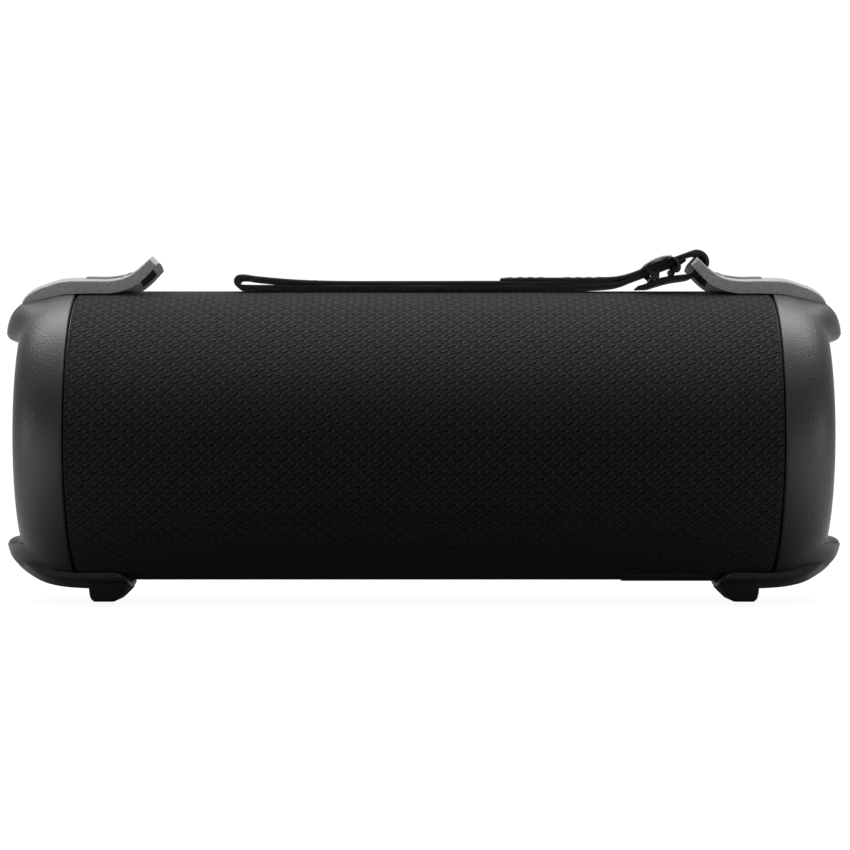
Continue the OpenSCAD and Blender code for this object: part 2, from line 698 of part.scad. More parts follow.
module foot(side) color(rubber) at_end(side) difference() {
    mirror([0, 0, 1]) flat([for (p = foot_outline) [p[0], p[1] > 42 ? p[1] + foot_drop : p[1]]], foot_w);
    rotate([0, 90, 0]) cylinder(r = foot_top_r + 0.03, h = 120);
}

module bracket_screws() color(steel) for (side = [-1, 1]) at_end(side) bracket_screw_places() {
    translate([0, 0, bracket_head[1] - 0.1]) cylinder(r = bracket_screw_r, h = 5.4, $fn = hole_fn);
    translate([0, 0, bracket_head[0]])
        cylinder(r = screw_head_r, h = bracket_head[1] - bracket_head[0], $fn = hole_fn);
}

// ---- strap ------------------------------------------------------------------------------------

module hand_strap() color([0.03, 0.03, 0.03]) on_axis() {
    difference() {
        flat(strap_outline, strap_w);
        flat(fold_opening, strap_w + 2);
    }
    flat(tail_outline, strap_w);
    difference() {
        translate([bar_x, strap_w / 2, bar_z]) rotate([90, 0, 0]) cylinder(r = wrap_r, h = strap_w);
        translate([bar_x, strap_w / 2 + 1, bar_z]) rotate([90, 0, 0])
            cylinder(r = wrap_r - strap_t, h = strap_w + 2);
        flat([[bar_x, bar_z], top_tan + [-0.2, 0.5], [bar_x - 8, bar_z + 2], [bar_x - 8, bar_z - 6],
              [bar_x, bar_z - 6]], strap_w + 2);
    }
}

module strap_slider() color([0.2, 0.2, 0.2]) in_strap_frame() {
    flat(arch_outline, 2 * slider_half);
    for (y = [-slider_half + slider_wall / 2, slider_half - slider_wall / 2]) translate([0, y, 0])
        flat([[-5.2, 0.3], [2.9, 0.3], [slider_bar_s + 1, slider_bar_n - 0.5],
              [-slider_bar_s - 1, slider_bar_n - 0.5]], slider_wall);
    for (s = [-slider_bar_s, slider_bar_s]) translate([s, slider_half - 0.5, slider_bar_n])
        rotate([90, 0, 0]) cylinder(r = slider_bar_r, h = 2 * slider_half - 1, $fn = fine_fn);
}

// ---- what each node draws ----------------------------------------------------------------------

fabric_sleeve();
grille_tube();
enclosure_front();
enclosure_rear();
enclosure_gasket();
enclosure_screws();
end_cap(-1);  // end_cap_left
end_cap(1);  // end_cap_right
end_seal(-1);  // end_seal_left
end_seal(1);  // end_seal_right
radiator_frame(-1);  // radiator_frame_left
radiator_frame(1);  // radiator_frame_right
radiator_surround(-1);  // radiator_surround_left
radiator_surround(1);  // radiator_surround_right
radiator_disc(-1);  // radiator_disc_left
radiator_disc(1);  // radiator_disc_right
radiator_screws();
driver_basket(-1);  // driver_basket_left
driver_basket(1);  // driver_basket_right
driver_magnet(-1);  // driver_magnet_left
driver_magnet(1);  // driver_magnet_right
driver_surround(-1);  // driver_surround_left
driver_surround(1);  // driver_surround_right
driver_cone(-1);  // driver_cone_left
driver_cone(1);  // driver_cone_right
voice_coil(-1);  // voice_coil_left
voice_coil(1);  // voice_coil_right
driver_spider(-1);  // driver_spider_left
driver_spider(1);  // driver_spider_right
driver_screws();
battery_cells();
battery_cradle();
main_board();
board_parts();
wiring();
port_board();
usb_socket();
aux_socket();
port_bezel();
port_cover();
key_panel();
key_board();
key_switches();
power_key();
pair_key();
minus_key();
play_key();
plus_key();
status_leds();
top_bracket(-1);  // top_bracket_left
top_bracket(1);  // top_bracket_right
bracket_pad(-1);  // bracket_pad_left
bracket_pad(1);  // bracket_pad_right
bottom_bracket(-1);  // bottom_bracket_left
bottom_bracket(1);  // bottom_bracket_right
foot(-1);  // foot_left
foot(1);  // foot_right
bracket_screws();
hand_strap();
strap_slider();
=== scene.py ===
import math

import bmesh
import bpy
import numpy as np
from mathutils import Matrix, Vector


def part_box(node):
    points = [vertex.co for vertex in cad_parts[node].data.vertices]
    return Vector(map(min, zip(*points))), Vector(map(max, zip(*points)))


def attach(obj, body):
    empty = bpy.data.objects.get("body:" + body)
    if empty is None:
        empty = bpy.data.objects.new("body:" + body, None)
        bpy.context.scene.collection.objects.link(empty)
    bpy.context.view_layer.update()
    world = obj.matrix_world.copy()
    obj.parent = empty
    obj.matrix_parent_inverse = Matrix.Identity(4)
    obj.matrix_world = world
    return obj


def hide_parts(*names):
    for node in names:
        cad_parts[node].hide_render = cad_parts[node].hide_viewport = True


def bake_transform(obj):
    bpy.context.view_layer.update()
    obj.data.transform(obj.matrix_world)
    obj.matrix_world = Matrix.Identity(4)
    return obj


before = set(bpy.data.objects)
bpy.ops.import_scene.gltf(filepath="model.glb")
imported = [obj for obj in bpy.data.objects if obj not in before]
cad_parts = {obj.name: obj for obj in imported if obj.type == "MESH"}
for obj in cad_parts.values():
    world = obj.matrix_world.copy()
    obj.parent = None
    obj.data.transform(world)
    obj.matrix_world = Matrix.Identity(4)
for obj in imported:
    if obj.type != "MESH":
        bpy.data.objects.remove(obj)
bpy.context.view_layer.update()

# ---- sizes ---------------------------------------------------------------------------------------
# Millimetres. Outlines are [x, distance from the barrel's axis] on the right-hand end, and side -1
# mirrors them to the left-hand end. add_piece() turns millimetres into metres.

MM = 0.001
sleeve_low, sleeve_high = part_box("fabric_sleeve")
cap_low, cap_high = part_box("end_cap_right")
AXIS_Z = (sleeve_low.z + sleeve_high.z) / 2 / MM
SLEEVE_R = (sleeve_high.z - sleeve_low.z) / 2 / MM
SLEEVE_HALF = sleeve_high.x / MM - 0.2
SLEEVE_T = 0.8
SEAM_X = cap_low.x / MM
CAP_R = cap_high.y / MM
TIP_X = cap_high.x / MM

LIP_X = SEAM_X + 0.6                 # where the cap's shoulder begins
EDGE_X = 105.8                       # outer edge of the cap
EDGE_R = 31.9
CREASE = (26.5, 28.6)                # upper and lower lobe: height of the crease across the tip
SHELF = (24.4, 26.4)                 # and of the flat shelf under it
EDGE_DROP = 0.4                      # the edge sits this much lower where a lobe begins
RECESS_R = 28.4
RECESS_X = 94.6
SHELF_X = 97                         # where a lobe's shelf ends over the radiator
LOBE = [(LIP_X, CAP_R), (97, 38.5), (99.7, 37.75), (104, 36.75), (106.4, 35.9), (107.6, 34.9),
        (108.8, 33.2), (109.6, 31.4), (110.2, 29.3), (TIP_X, 27.2), (TIP_X, 24)]

HORN_HALF = 11                       # half the width of a top bracket
HORN_EDGE = 0.45                     # its rounded side edges
RAIL_IN = 8.3                        # half the width of the strap slot
BASE_HALF = 15                       # of a bottom bracket
BASE_EDGE = 0.7
FOOT_HALF = 12.5
PAD_PARTS = [(80.1, 89.8, 7.5, 0.36), (78.2, 79.3, 7.0, 0.3)]    # pad and ridge: x, x, half width, rise
HORN_TOP = [(106.9, 36.3), (106.5, 37.2), (105.3, 38.5), (103, 39.9), (99.9, 41), (95.7, 42.15),
            (89.5, 42.35), (83.5, 42.35), (79, 43.2), (75.6, 45.3), (72.6, 48)]
HORN_UNDER = [(106.6, 35.95), (106.2, 36.1), (104.9, 36.55), (102.6, 37.2), (99.7, 37.87), (95.5, 38.8),
              (89.2, 39.1), (82.5, 39.2), (77.6, 40.5), (74.2, 42.8), (70.9, 46.2)]
SLOT = (8.35, 9.5)                   # the strap slot, as positions between the horn's points
BASE_OUT = [(108.6, 34.2), (107.8, 35.4), (105.2, 37.4), (101.5, 39.4), (97, 40.5), (91.3, 41),
            (85.5, 41.1), (80.2, 41.05), (78.2, 40.5)]
BASE_IN = [(108, 34.4), (106.8, 35.65), (104, 36.85), (99.7, 37.85), (96.5, 38.7), (91.3, 39.25),
           (85.5, 39.25), (80.4, 39.2), (78.2, 39.5)]
FOOT = [(88.7, 38.9), (88.6, 41.4), (88.2, 43.1), (87.6, 43.8), (86.9, 44.1), (82.5, 44.1), (81.6, 43.7),
        (79.4, 41.6), (79, 40.9), (79.1, 38.9)]
FOOT_CORE = (83.9, 39.5)             # the foot's rounded sides shrink towards this line

BAR = (72.6, 46.1)                   # the horn's bar, which the strap turns on
WRAP_R = 2.84                        # to the middle of the webbing
LIFT = math.radians(20)              # slope of the strap's straight stretch
WEB_HALF = 7.5
WEB_T = 1.04
WEB_EDGE = 0.35                      # rounded selvedge of the webbing
SLIDER_X = 63.2
SLIDER_HALF = 9.5
POST_Y = 8.7

PORT_TILT = math.radians(4.5)        # of the socket cover, from straight down towards the near side
PORT_X = (53.2, 77.4)
PORT_HALF = 8.5
PORT_OUT, PORT_IN = 39.05, 37.6      # its outer and inner face
KEY_TILT = math.radians(28)          # of the key row, from straight up towards the far side
KEY_COUNT = 5
KEY_PITCH = 16
KEY_R = 5
KEY_BASE, KEY_TOP = 39.6, 39.88      # height of a key's symbols over the axis
PANEL_HALF = 6.5
PANEL_OUT, PANEL_IN = 39.1, 36.6
LIGHT_COUNT, LIGHT_PITCH, LIGHT_X = 4, 2, 39.6


# ---- mesh helpers --------------------------------------------------------------------------------

def spline(points, per_span):
    """Catmull-Rom curve: each span is the cubic through its two ends with the neighbours' slopes."""
    p = np.array(points, float)
    p = np.vstack([2 * p[0] - p[1], p, 2 * p[-1] - p[-2]])
    t = np.linspace(0, 1, per_span, endpoint=False)[:, None]
    spans = [0.5 * (2 * b + (c - a) * t + (2 * a - 5 * b + 4 * c - d) * t**2
                    + (3 * b - a - 3 * c + d) * t**3)
             for a, b, c, d in zip(p, p[1:], p[2:], p[3:])]
    return np.vstack(spans + [p[-2:-1]])


def along(points, where):
    """Catmull-Rom curve read at positions counted in points, such as 1.5 for the middle of a span."""
    fine = spline(points, 40)
    grid = np.arange(len(fine)) / 40
    return np.stack([np.interp(where, grid, fine[:, i]) for i in range(fine.shape[1])], -1)


def smoothstep(low, high, value):
    """0 below low, 1 above high, and 3t^2 - 2t^3 between them."""
    t = np.clip((value - low) / (high - low), 0, 1)
    return t * t * (3 - 2 * t)


def soft_min(a, b, sharp=50):
    """The smaller of two lengths, rounded where they are alike, as a power mean."""
    return (a ** -sharp + b ** -sharp) ** (-1 / sharp)


def quads(rows, columns, wrap_rows=False, wrap_columns=False):
    """Faces of a grid whose point (i, j) is i * columns + j."""
    i = np.arange(rows if wrap_rows else rows - 1)[:, None]
    j = np.arange(columns if wrap_columns else columns - 1)[None, :]
    i2, j2 = (i + 1) % rows, (j + 1) % columns
    corners = [i * columns + j, i2 * columns + j, i2 * columns + j2, i * columns + j2]
    return np.stack([c + 0 * (i + j) for c in corners], -1).reshape(-1, 4)


def loft(sections, closed=False):
    """A skin over loops of points [loop, point, xyz]. Unless closed, a fan from its middle shuts each
    end. Faces come as arrays, one for each count of corners."""
    s = np.asarray(sections, float)
    rows, columns = s.shape[:2]
    faces = [quads(rows, columns, closed, True)]
    points = s.reshape(-1, 3)
    if not closed:
        points = np.vstack([points, s[0].mean(0), s[-1].mean(0)])
        j = np.arange(columns)
        for first, middle in ((0, rows * columns), ((rows - 1) * columns, rows * columns + 1)):
            faces.append(np.stack([first + j, first + (j + 1) % columns, 0 * j + middle], -1))
    return points, faces


def plate(top, under, keep=None, wrap_rows=False):
    """Two matching grids of points joined by walls round every edge of the cells that are kept."""
    rows, columns = top.shape[:2]
    count = rows * columns
    cell_rows = rows if wrap_rows else rows - 1
    if keep is None:
        keep = np.ones((cell_rows, columns - 1), bool)
    cells = quads(rows, columns, wrap_rows).reshape(cell_rows, columns - 1, 4)
    kept = cells[keep]
    edges = np.concatenate([kept[:, [k, (k + 1) % 4]] for k in range(4)])
    name = np.sort(edges, 1)
    key = name[:, 0] * count + name[:, 1]
    _, where, times = np.unique(key, return_inverse=True, return_counts=True)
    rim = edges[times[where] == 1]
    walls = np.stack([rim[:, 1], rim[:, 0], rim[:, 0] + count, rim[:, 1] + count], -1)
    faces = np.vstack([kept, kept[:, ::-1] + count, walls])
    return np.vstack([top.reshape(-1, 3), under.reshape(-1, 3)]), [faces]


def ring(profile):
    """A closed outline of [x, radius] turned once round the barrel's axis."""
    a = np.linspace(0, 2 * np.pi, 160, endpoint=False)[:, None]
    p = np.asarray(profile, float)[None]
    sections = np.stack([p[..., 0] + 0 * a, p[..., 1] * np.sin(a), p[..., 1] * np.cos(a)], -1)
    return loft(sections, closed=True)


def bulge(outline, half, edge):
    """A closed [x, z] outline carried across the barrel. Towards each side it shrinks along its own
    normals by edge * (1 - cos b) while the last edge of width is edge * sin b, so the rims are round."""
    p = np.asarray(outline, float)
    ahead = np.roll(p, -1, 0) - np.roll(p, 1, 0)
    normal = np.stack([ahead[:, 1], -ahead[:, 0]], -1) / np.linalg.norm(ahead, axis=1, keepdims=True)
    area = np.sum(p[:, 0] * np.roll(p[:, 1], -1) - p[:, 1] * np.roll(p[:, 0], -1))
    normal *= np.sign(area)
    b = np.linspace(0, np.pi / 2, 5)
    y = np.concatenate([-half + edge - edge * np.sin(b[::-1]), half - edge + edge * np.sin(b)])
    inset = np.concatenate([edge * (1 - np.cos(b[::-1])), edge * (1 - np.cos(b))])
    flat = p[None] - normal[None] * inset[:, None, None]
    return loft(np.stack([flat[..., 0], np.broadcast_to(y[:, None], flat.shape[:2]), flat[..., 1]], -1))


def add_piece(name, parts, body, material, side=1, sharp=35, bevel=0, stand_for=()):
    """Joins closed parts (points, arrays of faces) in millimetres from the barrel's axis to one mesh
    whose faces point outwards. Sharp is the angle past which an edge is left unsmoothed."""
    starts = np.cumsum([0] + [len(points) for points, _ in parts])
    faces = [face for start, (_, groups) in zip(starts, parts)
             for group in groups for face in (group + start).tolist()]
    points = np.vstack([points for points, _ in parts]) * [side, 1, 1] + [0, 0, AXIS_Z]
    mesh = bpy.data.meshes.new(name)
    mesh.from_pydata((points * MM).tolist(), [], faces)
    clean = bmesh.new()
    clean.from_mesh(mesh)
    bmesh.ops.remove_doubles(clean, verts=clean.verts, dist=2e-6)
    bmesh.ops.delete(clean, geom=[v for v in clean.verts if not v.link_faces], context="VERTS")
    bmesh.ops.recalc_face_normals(clean, faces=clean.faces)
    clean.to_mesh(mesh)
    clean.free()
    mesh.shade_smooth()
    mesh.set_sharp_from_angle(angle=math.radians(sharp))
    mesh.materials.append(material)
    piece = bpy.data.objects.new(name, mesh)
    bpy.context.scene.collection.objects.link(piece)
    if bevel:
        soften = piece.modifiers.new("rounded edges", "BEVEL")
        soften.width = bevel * MM
        soften.segments = 3
        soften.limit_method = "ANGLE"
        soften.angle_limit = math.radians(40)
        soften.harden_normals = True
    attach(piece, body)
    if stand_for:
        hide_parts(*stand_for)
    return piece


def ends():
    """The two ends of the barrel: side and name."""
    return (-1, "left"), (1, "right")


# ---- shader helpers ------------------------------------------------------------------------------

def calc(tree, operation, *values):
    """One math node; each value is a number or another node's output."""
    node = tree.nodes.new("ShaderNodeMath")
    node.operation = operation
    for socket, value in zip(node.inputs, values):
        if isinstance(value, (int, float)):
            socket.default_value = value
        else:
            tree.links.new(value, socket)
    return node.outputs[0]


def times(tree, first, *others):
    """A product of several values."""
    for value in others:
        first = calc(tree, "MULTIPLY", first, value)
    return first


def plus(tree, first, *others):
    """A sum of several values."""
    for value in others:
        first = calc(tree, "ADD", first, value)
    return first


def fade(tree, value, low, high, out_low=0.0, out_high=1.0):
    """A smooth step of value from low to high."""
    node = tree.nodes.new("ShaderNodeMapRange")
    node.interpolation_type = "SMOOTHSTEP"
    for name, number in (("From Min", low), ("From Max", high), ("To Min", out_low), ("To Max", out_high)):
        node.inputs[name].default_value = number
    tree.links.new(value, node.inputs["Value"])
    return node.outputs["Result"]


def noise(tree, vector, scale, detail=3.0, rough=0.5):
    """Fractal noise between 0 and 1; scale is in waves to the metre on Object coordinates."""
    node = tree.nodes.new("ShaderNodeTexNoise")
    node.inputs["Scale"].default_value = scale
    node.inputs["Detail"].default_value = detail
    node.inputs["Roughness"].default_value = rough
    tree.links.new(vector, node.inputs["Vector"])
    return node.outputs["Fac"]


def mix_colour(tree, mask, first, second):
    """Blend of two colours by a mask; a colour is three numbers or another node's output."""
    node = tree.nodes.new("ShaderNodeMix")
    node.data_type = "RGBA"
    tree.links.new(mask, node.inputs["Factor"])
    for socket, colour in ((node.inputs[6], first), (node.inputs[7], second)):
        if isinstance(colour, tuple):
            socket.default_value = (*colour, 1)
        else:
            tree.links.new(colour, socket)
    return node.outputs[2]


def new_group(name, inputs, outputs):
    """An empty node group: inputs are (name, default) with a None default for a vector."""
    tree = bpy.data.node_groups.new(name, "ShaderNodeTree")
    for label, default in inputs:
        kind = "NodeSocketVector" if default is None else "NodeSocketFloat"
        made = tree.interface.new_socket(label, in_out="INPUT", socket_type=kind)
        if default is not None:
            made.default_value = default
    for label in outputs:
        tree.interface.new_socket(label, in_out="OUTPUT", socket_type="NodeSocketFloat")
    return tree, tree.nodes.new("NodeGroupInput").outputs, tree.nodes.new("NodeGroupOutput").inputs


def oval(tree, u, v, at, lean, long, wide):
    """1 inside a leaning ellipse of the cell coordinates u, v, fading out at its edge."""
    du, dv = calc(tree, "SUBTRACT", u, at[0]), calc(tree, "SUBTRACT", v, at[1])
    c, s = math.cos(math.radians(lean)), math.sin(math.radians(lean))
    run = times(tree, plus(tree, times(tree, du, c), times(tree, dv, s)), 1 / long)
    rise = times(tree, calc(tree, "SUBTRACT", times(tree, dv, c), times(tree, du, s)), 1 / wide)
    far = plus(tree, times(tree, run, run), times(tree, rise, rise))
    return fade(tree, far, 0.5, 1.5, 1.0, 0.0)


def knit_group():
    """Staggered knit round a barrel along X, in millimetres: rows by the turning angle, cells by x,
    every second row shifted by half a cell. Each cell holds a leaning slit, a long shadow, a small
    hole and a raised stitch and loop, over strands that are waves across a slope. The long shadow
    is painted shade, darkened with the slits and holes, and the stitch, loop and strands are painted
    lighter as highlights on the raised yarn."""
    tree, given, out = new_group("knit", [("Vector", None), ("Cell", 3.73), ("Row", 1.79), ("Radius", 38.7)],
                                 ["Height", "Hole_and_shadow", "Stitch_and_highlight"])
    split = tree.nodes.new("ShaderNodeSeparateXYZ")
    tree.links.new(given["Vector"], split.inputs[0])
    drift = times(tree, calc(tree, "SUBTRACT", noise(tree, given["Vector"], 90, 1.0), 0.5), 0.35)
    turn = calc(tree, "ARCTAN2", split.outputs["Y"], split.outputs["Z"])
    row = plus(tree, calc(tree, "DIVIDE", times(tree, turn, given["Radius"]), given["Row"]), drift)
    shift = times(tree, calc(tree, "MODULO", calc(tree, "FLOOR", plus(tree, row, 1000)), 2), 0.5)
    along_x = times(tree, split.outputs["X"], 1 / MM)
    cell = plus(tree, calc(tree, "DIVIDE", along_x, given["Cell"]), shift, drift)
    u, v = (times(tree, calc(tree, "SUBTRACT", calc(tree, "FRACT", count), 0.5), pitch)
            for count, pitch in ((cell, given["Cell"]), (row, given["Row"])))
    slit = oval(tree, u, v, (0.1, 0.02), 25, 0.68, 0.24)
    shadow = oval(tree, u, v, (-0.35, -0.16), 19, 1.5, 0.14)
    hole = oval(tree, u, v, (-1.5, 0.1), 10, 0.34, 0.17)
    stitch = oval(tree, u, v, (1.0, -0.1), 62, 0.55, 0.2)
    loop = oval(tree, u, v, (-0.35, 0.42), 22, 1.0, 0.2)
    yarn = noise(tree, given["Vector"], 2600, 2.0)
    slope = math.radians(24)
    fall = calc(tree, "SUBTRACT", times(tree, v, math.cos(slope)), times(tree, u, math.sin(slope)))
    wave = plus(tree, times(tree, fall, 2 * math.pi / 0.62), times(tree, yarn, 3))
    strand = fade(tree, calc(tree, "SINE", wave), -0.6, 0.9)
    # Dark mask: the slits and holes, and the long shadow as painted shade.
    dark = calc(tree, "MAXIMUM", slit, times(tree, hole, 0.8))
    dark = calc(tree, "MAXIMUM", dark, times(tree, shadow, 0.75))
    # Painted highlight: the raised stitch, loop and strands are made lighter, as well as raised.
    light = calc(tree, "MAXIMUM", stitch, times(tree, loop, 0.7))
    light = calc(tree, "MAXIMUM", light, times(tree, strand, times(tree, yarn, 0.9)))
    light = times(tree, light, calc(tree, "SUBTRACT", 1, dark))
    height = plus(tree, calc(tree, "SUBTRACT", times(tree, light, 0.5), dark), times(tree, yarn, 0.5))
    tree.links.new(height, out["Height"])
    tree.links.new(dark, out["Hole_and_shadow"])
    tree.links.new(light, out["Stitch_and_highlight"])
    return tree


def grain_group():
    """Fine spark-eroded grain of moulded plastic or rubber, with broad soft handling marks."""
    tree, given, out = new_group("moulded grain", [("Vector", None), ("Grain", 3000.0)],
                                 ["Height", "Gloss", "Tone"])
    pebble = tree.nodes.new("ShaderNodeTexVoronoi")
    pebble.feature = "SMOOTH_F1"
    tree.links.new(given["Vector"], pebble.inputs["Vector"])
    tree.links.new(given["Grain"], pebble.inputs["Scale"])
    fine = tree.nodes.new("ShaderNodeTexNoise")
    fine.inputs["Detail"].default_value = 2
    tree.links.new(given["Vector"], fine.inputs["Vector"])
    tree.links.new(times(tree, given["Grain"], 0.55), fine.inputs["Scale"])
    tree.links.new(plus(tree, pebble.outputs["Distance"], fine.outputs["Fac"]), out["Height"])
    tree.links.new(fade(tree, noise(tree, given["Vector"], 55, 4.0, 0.6), 0.35, 0.7), out["Gloss"])
    tree.links.new(fade(tree, noise(tree, given["Vector"], 2300, 2.0), 0.3, 0.7), out["Tone"])
    return tree


def webbing_group():
    """Flat woven tape from its UV in millimetres: chevron ribs across the width and picks along it."""
    tree, given, out = new_group("webbing", [("Vector", None), ("Rib", 1.05), ("Pick", 0.62)],
                                 ["Height", "Shade"])
    split = tree.nodes.new("ShaderNodeSeparateXYZ")
    tree.links.new(given["Vector"], split.inputs[0])
    across = calc(tree, "PINGPONG", split.outputs["Y"], given["Rib"])
    lean = plus(tree, split.outputs["X"], times(tree, across, 0.55))
    pick, rib = (calc(tree, "ABSOLUTE", calc(tree, "SINE", calc(
        tree, "DIVIDE", times(tree, value, math.pi), given[pitch])))
        for value, pitch in ((lean, "Pick"), (split.outputs["Y"], "Rib")))
    weave = times(tree, calc(tree, "POWER", pick, 0.6), calc(tree, "POWER", rib, 0.4))
    height = plus(tree, weave, times(tree, noise(tree, given["Vector"], 4), 0.35))
    tree.links.new(height, out["Height"])
    tree.links.new(times(tree, height, 0.74), out["Shade"])
    return tree


def coil_group():
    """Fine turned rings round X, as on machined or spun metal."""
    tree, given, out = new_group("turned rings", [("Vector", None), ("Pitch", 0.25)], ["Height"])
    split = tree.nodes.new("ShaderNodeSeparateXYZ")
    tree.links.new(given["Vector"], split.inputs[0])
    y, z = split.outputs["Y"], split.outputs["Z"]
    far = calc(tree, "SQRT", plus(tree, times(tree, y, y), times(tree, z, z)))
    turns = calc(tree, "DIVIDE", times(tree, far, 2 * math.pi / MM), given["Pitch"])
    tree.links.new(calc(tree, "SINE", turns), out["Height"])
    return tree


KNIT, GRAIN, WEBBING, RINGS = knit_group(), grain_group(), webbing_group(), coil_group()


def place_group(tree, group, vector, **values):
    """A node group fed with coordinates and its own numbers."""
    node = tree.nodes.new("ShaderNodeGroup")
    node.node_tree = group
    tree.links.new(vector, node.inputs["Vector"])
    for name, value in values.items():
        node.inputs[name].default_value = value
    return node.outputs


def bump(tree, height, distance):
    """Relief of a height, distance millimetres deep, on the material's shader."""
    node = tree.nodes.new("ShaderNodeBump")
    node.inputs["Distance"].default_value = distance * MM
    node.inputs["Strength"].default_value = 1.0
    tree.links.new(height, node.inputs["Height"])
    tree.links.new(node.outputs[0], tree.nodes["Principled BSDF"].inputs["Normal"])


def blank(name, roughness, metallic=0.0, specular=0.5, sheen=0.0):
    """A material with its plain constants set on the shader; also gives its tree, the shader's sockets
    and Object coordinates that start on the barrel's axis."""
    material = bpy.data.materials.new(name)
    material.use_nodes = True
    tree = material.node_tree
    shader = tree.nodes["Principled BSDF"]
    for socket, value in (("Roughness", roughness), ("Metallic", metallic), ("Specular IOR Level", specular),
                          ("Sheen Weight", sheen)):
        shader.inputs[socket].default_value = value
    centred = tree.nodes.new("ShaderNodeMapping")
    centred.inputs["Location"].default_value = (0, 0, -AXIS_Z * MM)
    tree.links.new(tree.nodes.new("ShaderNodeTexCoord").outputs["Object"], centred.inputs["Vector"])
    return material, tree, shader.inputs, centred.outputs[0]


def moulded(name, colour, roughness, grain=3000.0, depth=0.03, spread=0.1, specular=0.5):
    """Moulded plastic or rubber: grain in relief, patchy gloss and a slight change of tone."""
    material, tree, shader, place = blank(name, roughness, specular=specular)
    mark = place_group(tree, GRAIN, place, Grain=grain)
    paler = tuple(min(1.0, c * 1.5 + 0.004) for c in colour)
    tree.links.new(mix_colour(tree, mark["Tone"], colour, paler), shader["Base Color"])
    tree.links.new(fade(tree, mark["Gloss"], 0, 1, roughness - spread / 2, roughness + spread / 2),
                   shader["Roughness"])
    bump(tree, mark["Height"], depth)
    return material


def metal(name, colour, roughness, pitch=0.2, depth=0.006):
    """Turned or pressed metal with fine rings and a patchy polish."""
    material, tree, shader, place = blank(name, roughness, metallic=1.0)
    mark = place_group(tree, GRAIN, place, Grain=1800.0)
    darker = tuple(c * 0.72 for c in colour)
    tree.links.new(mix_colour(tree, mark["Tone"], darker, colour), shader["Base Color"])
    tree.links.new(fade(tree, mark["Gloss"], 0, 1, roughness - 0.08, roughness + 0.1), shader["Roughness"])
    bump(tree, place_group(tree, RINGS, place, Pitch=pitch)["Height"], depth)
    return material


def knitted(name):
    """The barrel's speaker cloth."""
    material, tree, shader, place = blank(name, 0.82, specular=0.15, sheen=0.04)
    cloth = place_group(tree, KNIT, place)
    # The near-black tone marks the slits and holes and the painted shadow streaks; the paler tone is painted
    # highlight on the raised stitches, loops and strands.
    base = mix_colour(tree, cloth["Hole_and_shadow"], (0.0065, 0.0065, 0.0068), (0.0003, 0.0003, 0.0003))
    tree.links.new(mix_colour(tree, cloth["Stitch_and_highlight"], base, (0.034, 0.034, 0.036)), shader["Base Color"])
    tree.links.new(fade(tree, cloth["Stitch_and_highlight"], 0, 1, 0.88, 0.6), shader["Roughness"])
    bump(tree, cloth["Height"], 0.22)
    return material


def woven(name, dark, light):
    """Nylon webbing with its pattern on the tape's own UV."""
    material, tree, shader, _ = blank(name, 0.75, specular=0.35, sheen=0.1)
    tape = tree.nodes.new("ShaderNodeUVMap")
    tape.uv_map = "tape"
    cloth = place_group(tree, WEBBING, tape.outputs[0])
    tree.links.new(mix_colour(tree, cloth["Shade"], dark, light), shader["Base Color"])
    bump(tree, cloth["Height"], 0.16)
    return material


def spotted(name, first, second, scale, roughness):
    """Two tones in soft patches, for boards, wraps and other inner pieces."""
    material, tree, shader, place = blank(name, roughness)
    patch = fade(tree, noise(tree, place, scale, 4.0), 0.42, 0.58)
    tree.links.new(mix_colour(tree, patch, first, second), shader["Base Color"])
    bump(tree, noise(tree, place, scale * 6, 2.0), 0.02)
    return material


FABRIC = knitted("speaker cloth")
CAP_PLASTIC = moulded("satin cap plastic", (0.022, 0.022, 0.023), 0.44, grain=2600, depth=0.05, spread=0.04)
BRACKET_PLASTIC = moulded("bracket plastic", (0.23, 0.23, 0.232), 0.4, grain=2400, depth=0.05, spread=0.04)
DARK_PLASTIC = moulded("inner plastic", (0.022, 0.022, 0.024), 0.55, grain=2200)
SOFT_RUBBER = moulded("soft rubber", (0.018, 0.018, 0.018), 0.72, grain=3400, depth=0.02, specular=0.35)
PAD_RUBBER = moulded("bracket pad rubber", (0.2, 0.2, 0.2), 0.6, grain=3400, depth=0.02, spread=0.04)
FOOT_RUBBER = moulded("foot rubber", (0.014, 0.014, 0.014), 0.78, grain=2600, depth=0.03, specular=0.3)
SURROUND_RUBBER = moulded("radiator rubber", (0.016, 0.016, 0.017), 0.5, grain=4200, depth=0.01)
KEY_PLASTIC = moulded("key rubber", (0.03, 0.03, 0.031), 0.55, grain=3800, depth=0.015)
MARK_PAINT = moulded("key symbols", (0.62, 0.62, 0.6), 0.5, grain=4000, depth=0.01)
# Black gloss plastic painted light grey: a painted reflection of the overhead light on the slider's plate.
SLIDER_SHEEN_PLASTIC = moulded("black slider plastic with painted sheen", (0.42, 0.42, 0.425), 0.34, grain=3000, depth=0.015)
# Black plastic darkened further as painted shade, for the slider's posts and bars under its plate and for the
# slot walls.
FRAME_BLACK_AND_SHADE = moulded("black plastic and painted shade", (0.004, 0.004, 0.0042), 0.6, grain=3000, depth=0.015)
STEEL = metal("screw steel", (0.55, 0.56, 0.58), 0.34)
DISC_METAL = metal("radiator disc", (0.19, 0.19, 0.2), 0.36, pitch=0.32, depth=0.012)
MAGNET = metal("magnet", (0.16, 0.16, 0.17), 0.5)
COPPER = metal("coil copper", (0.72, 0.36, 0.16), 0.35)
CONE = spotted("paper cone", (0.03, 0.03, 0.032), (0.05, 0.05, 0.052), 240, 0.8)
SPIDER = spotted("spider cloth", (0.38, 0.25, 0.1), (0.5, 0.34, 0.15), 900, 0.9)
CELL_WRAP = spotted("cell wrap", (0.03, 0.12, 0.33), (0.04, 0.15, 0.38), 60, 0.3)
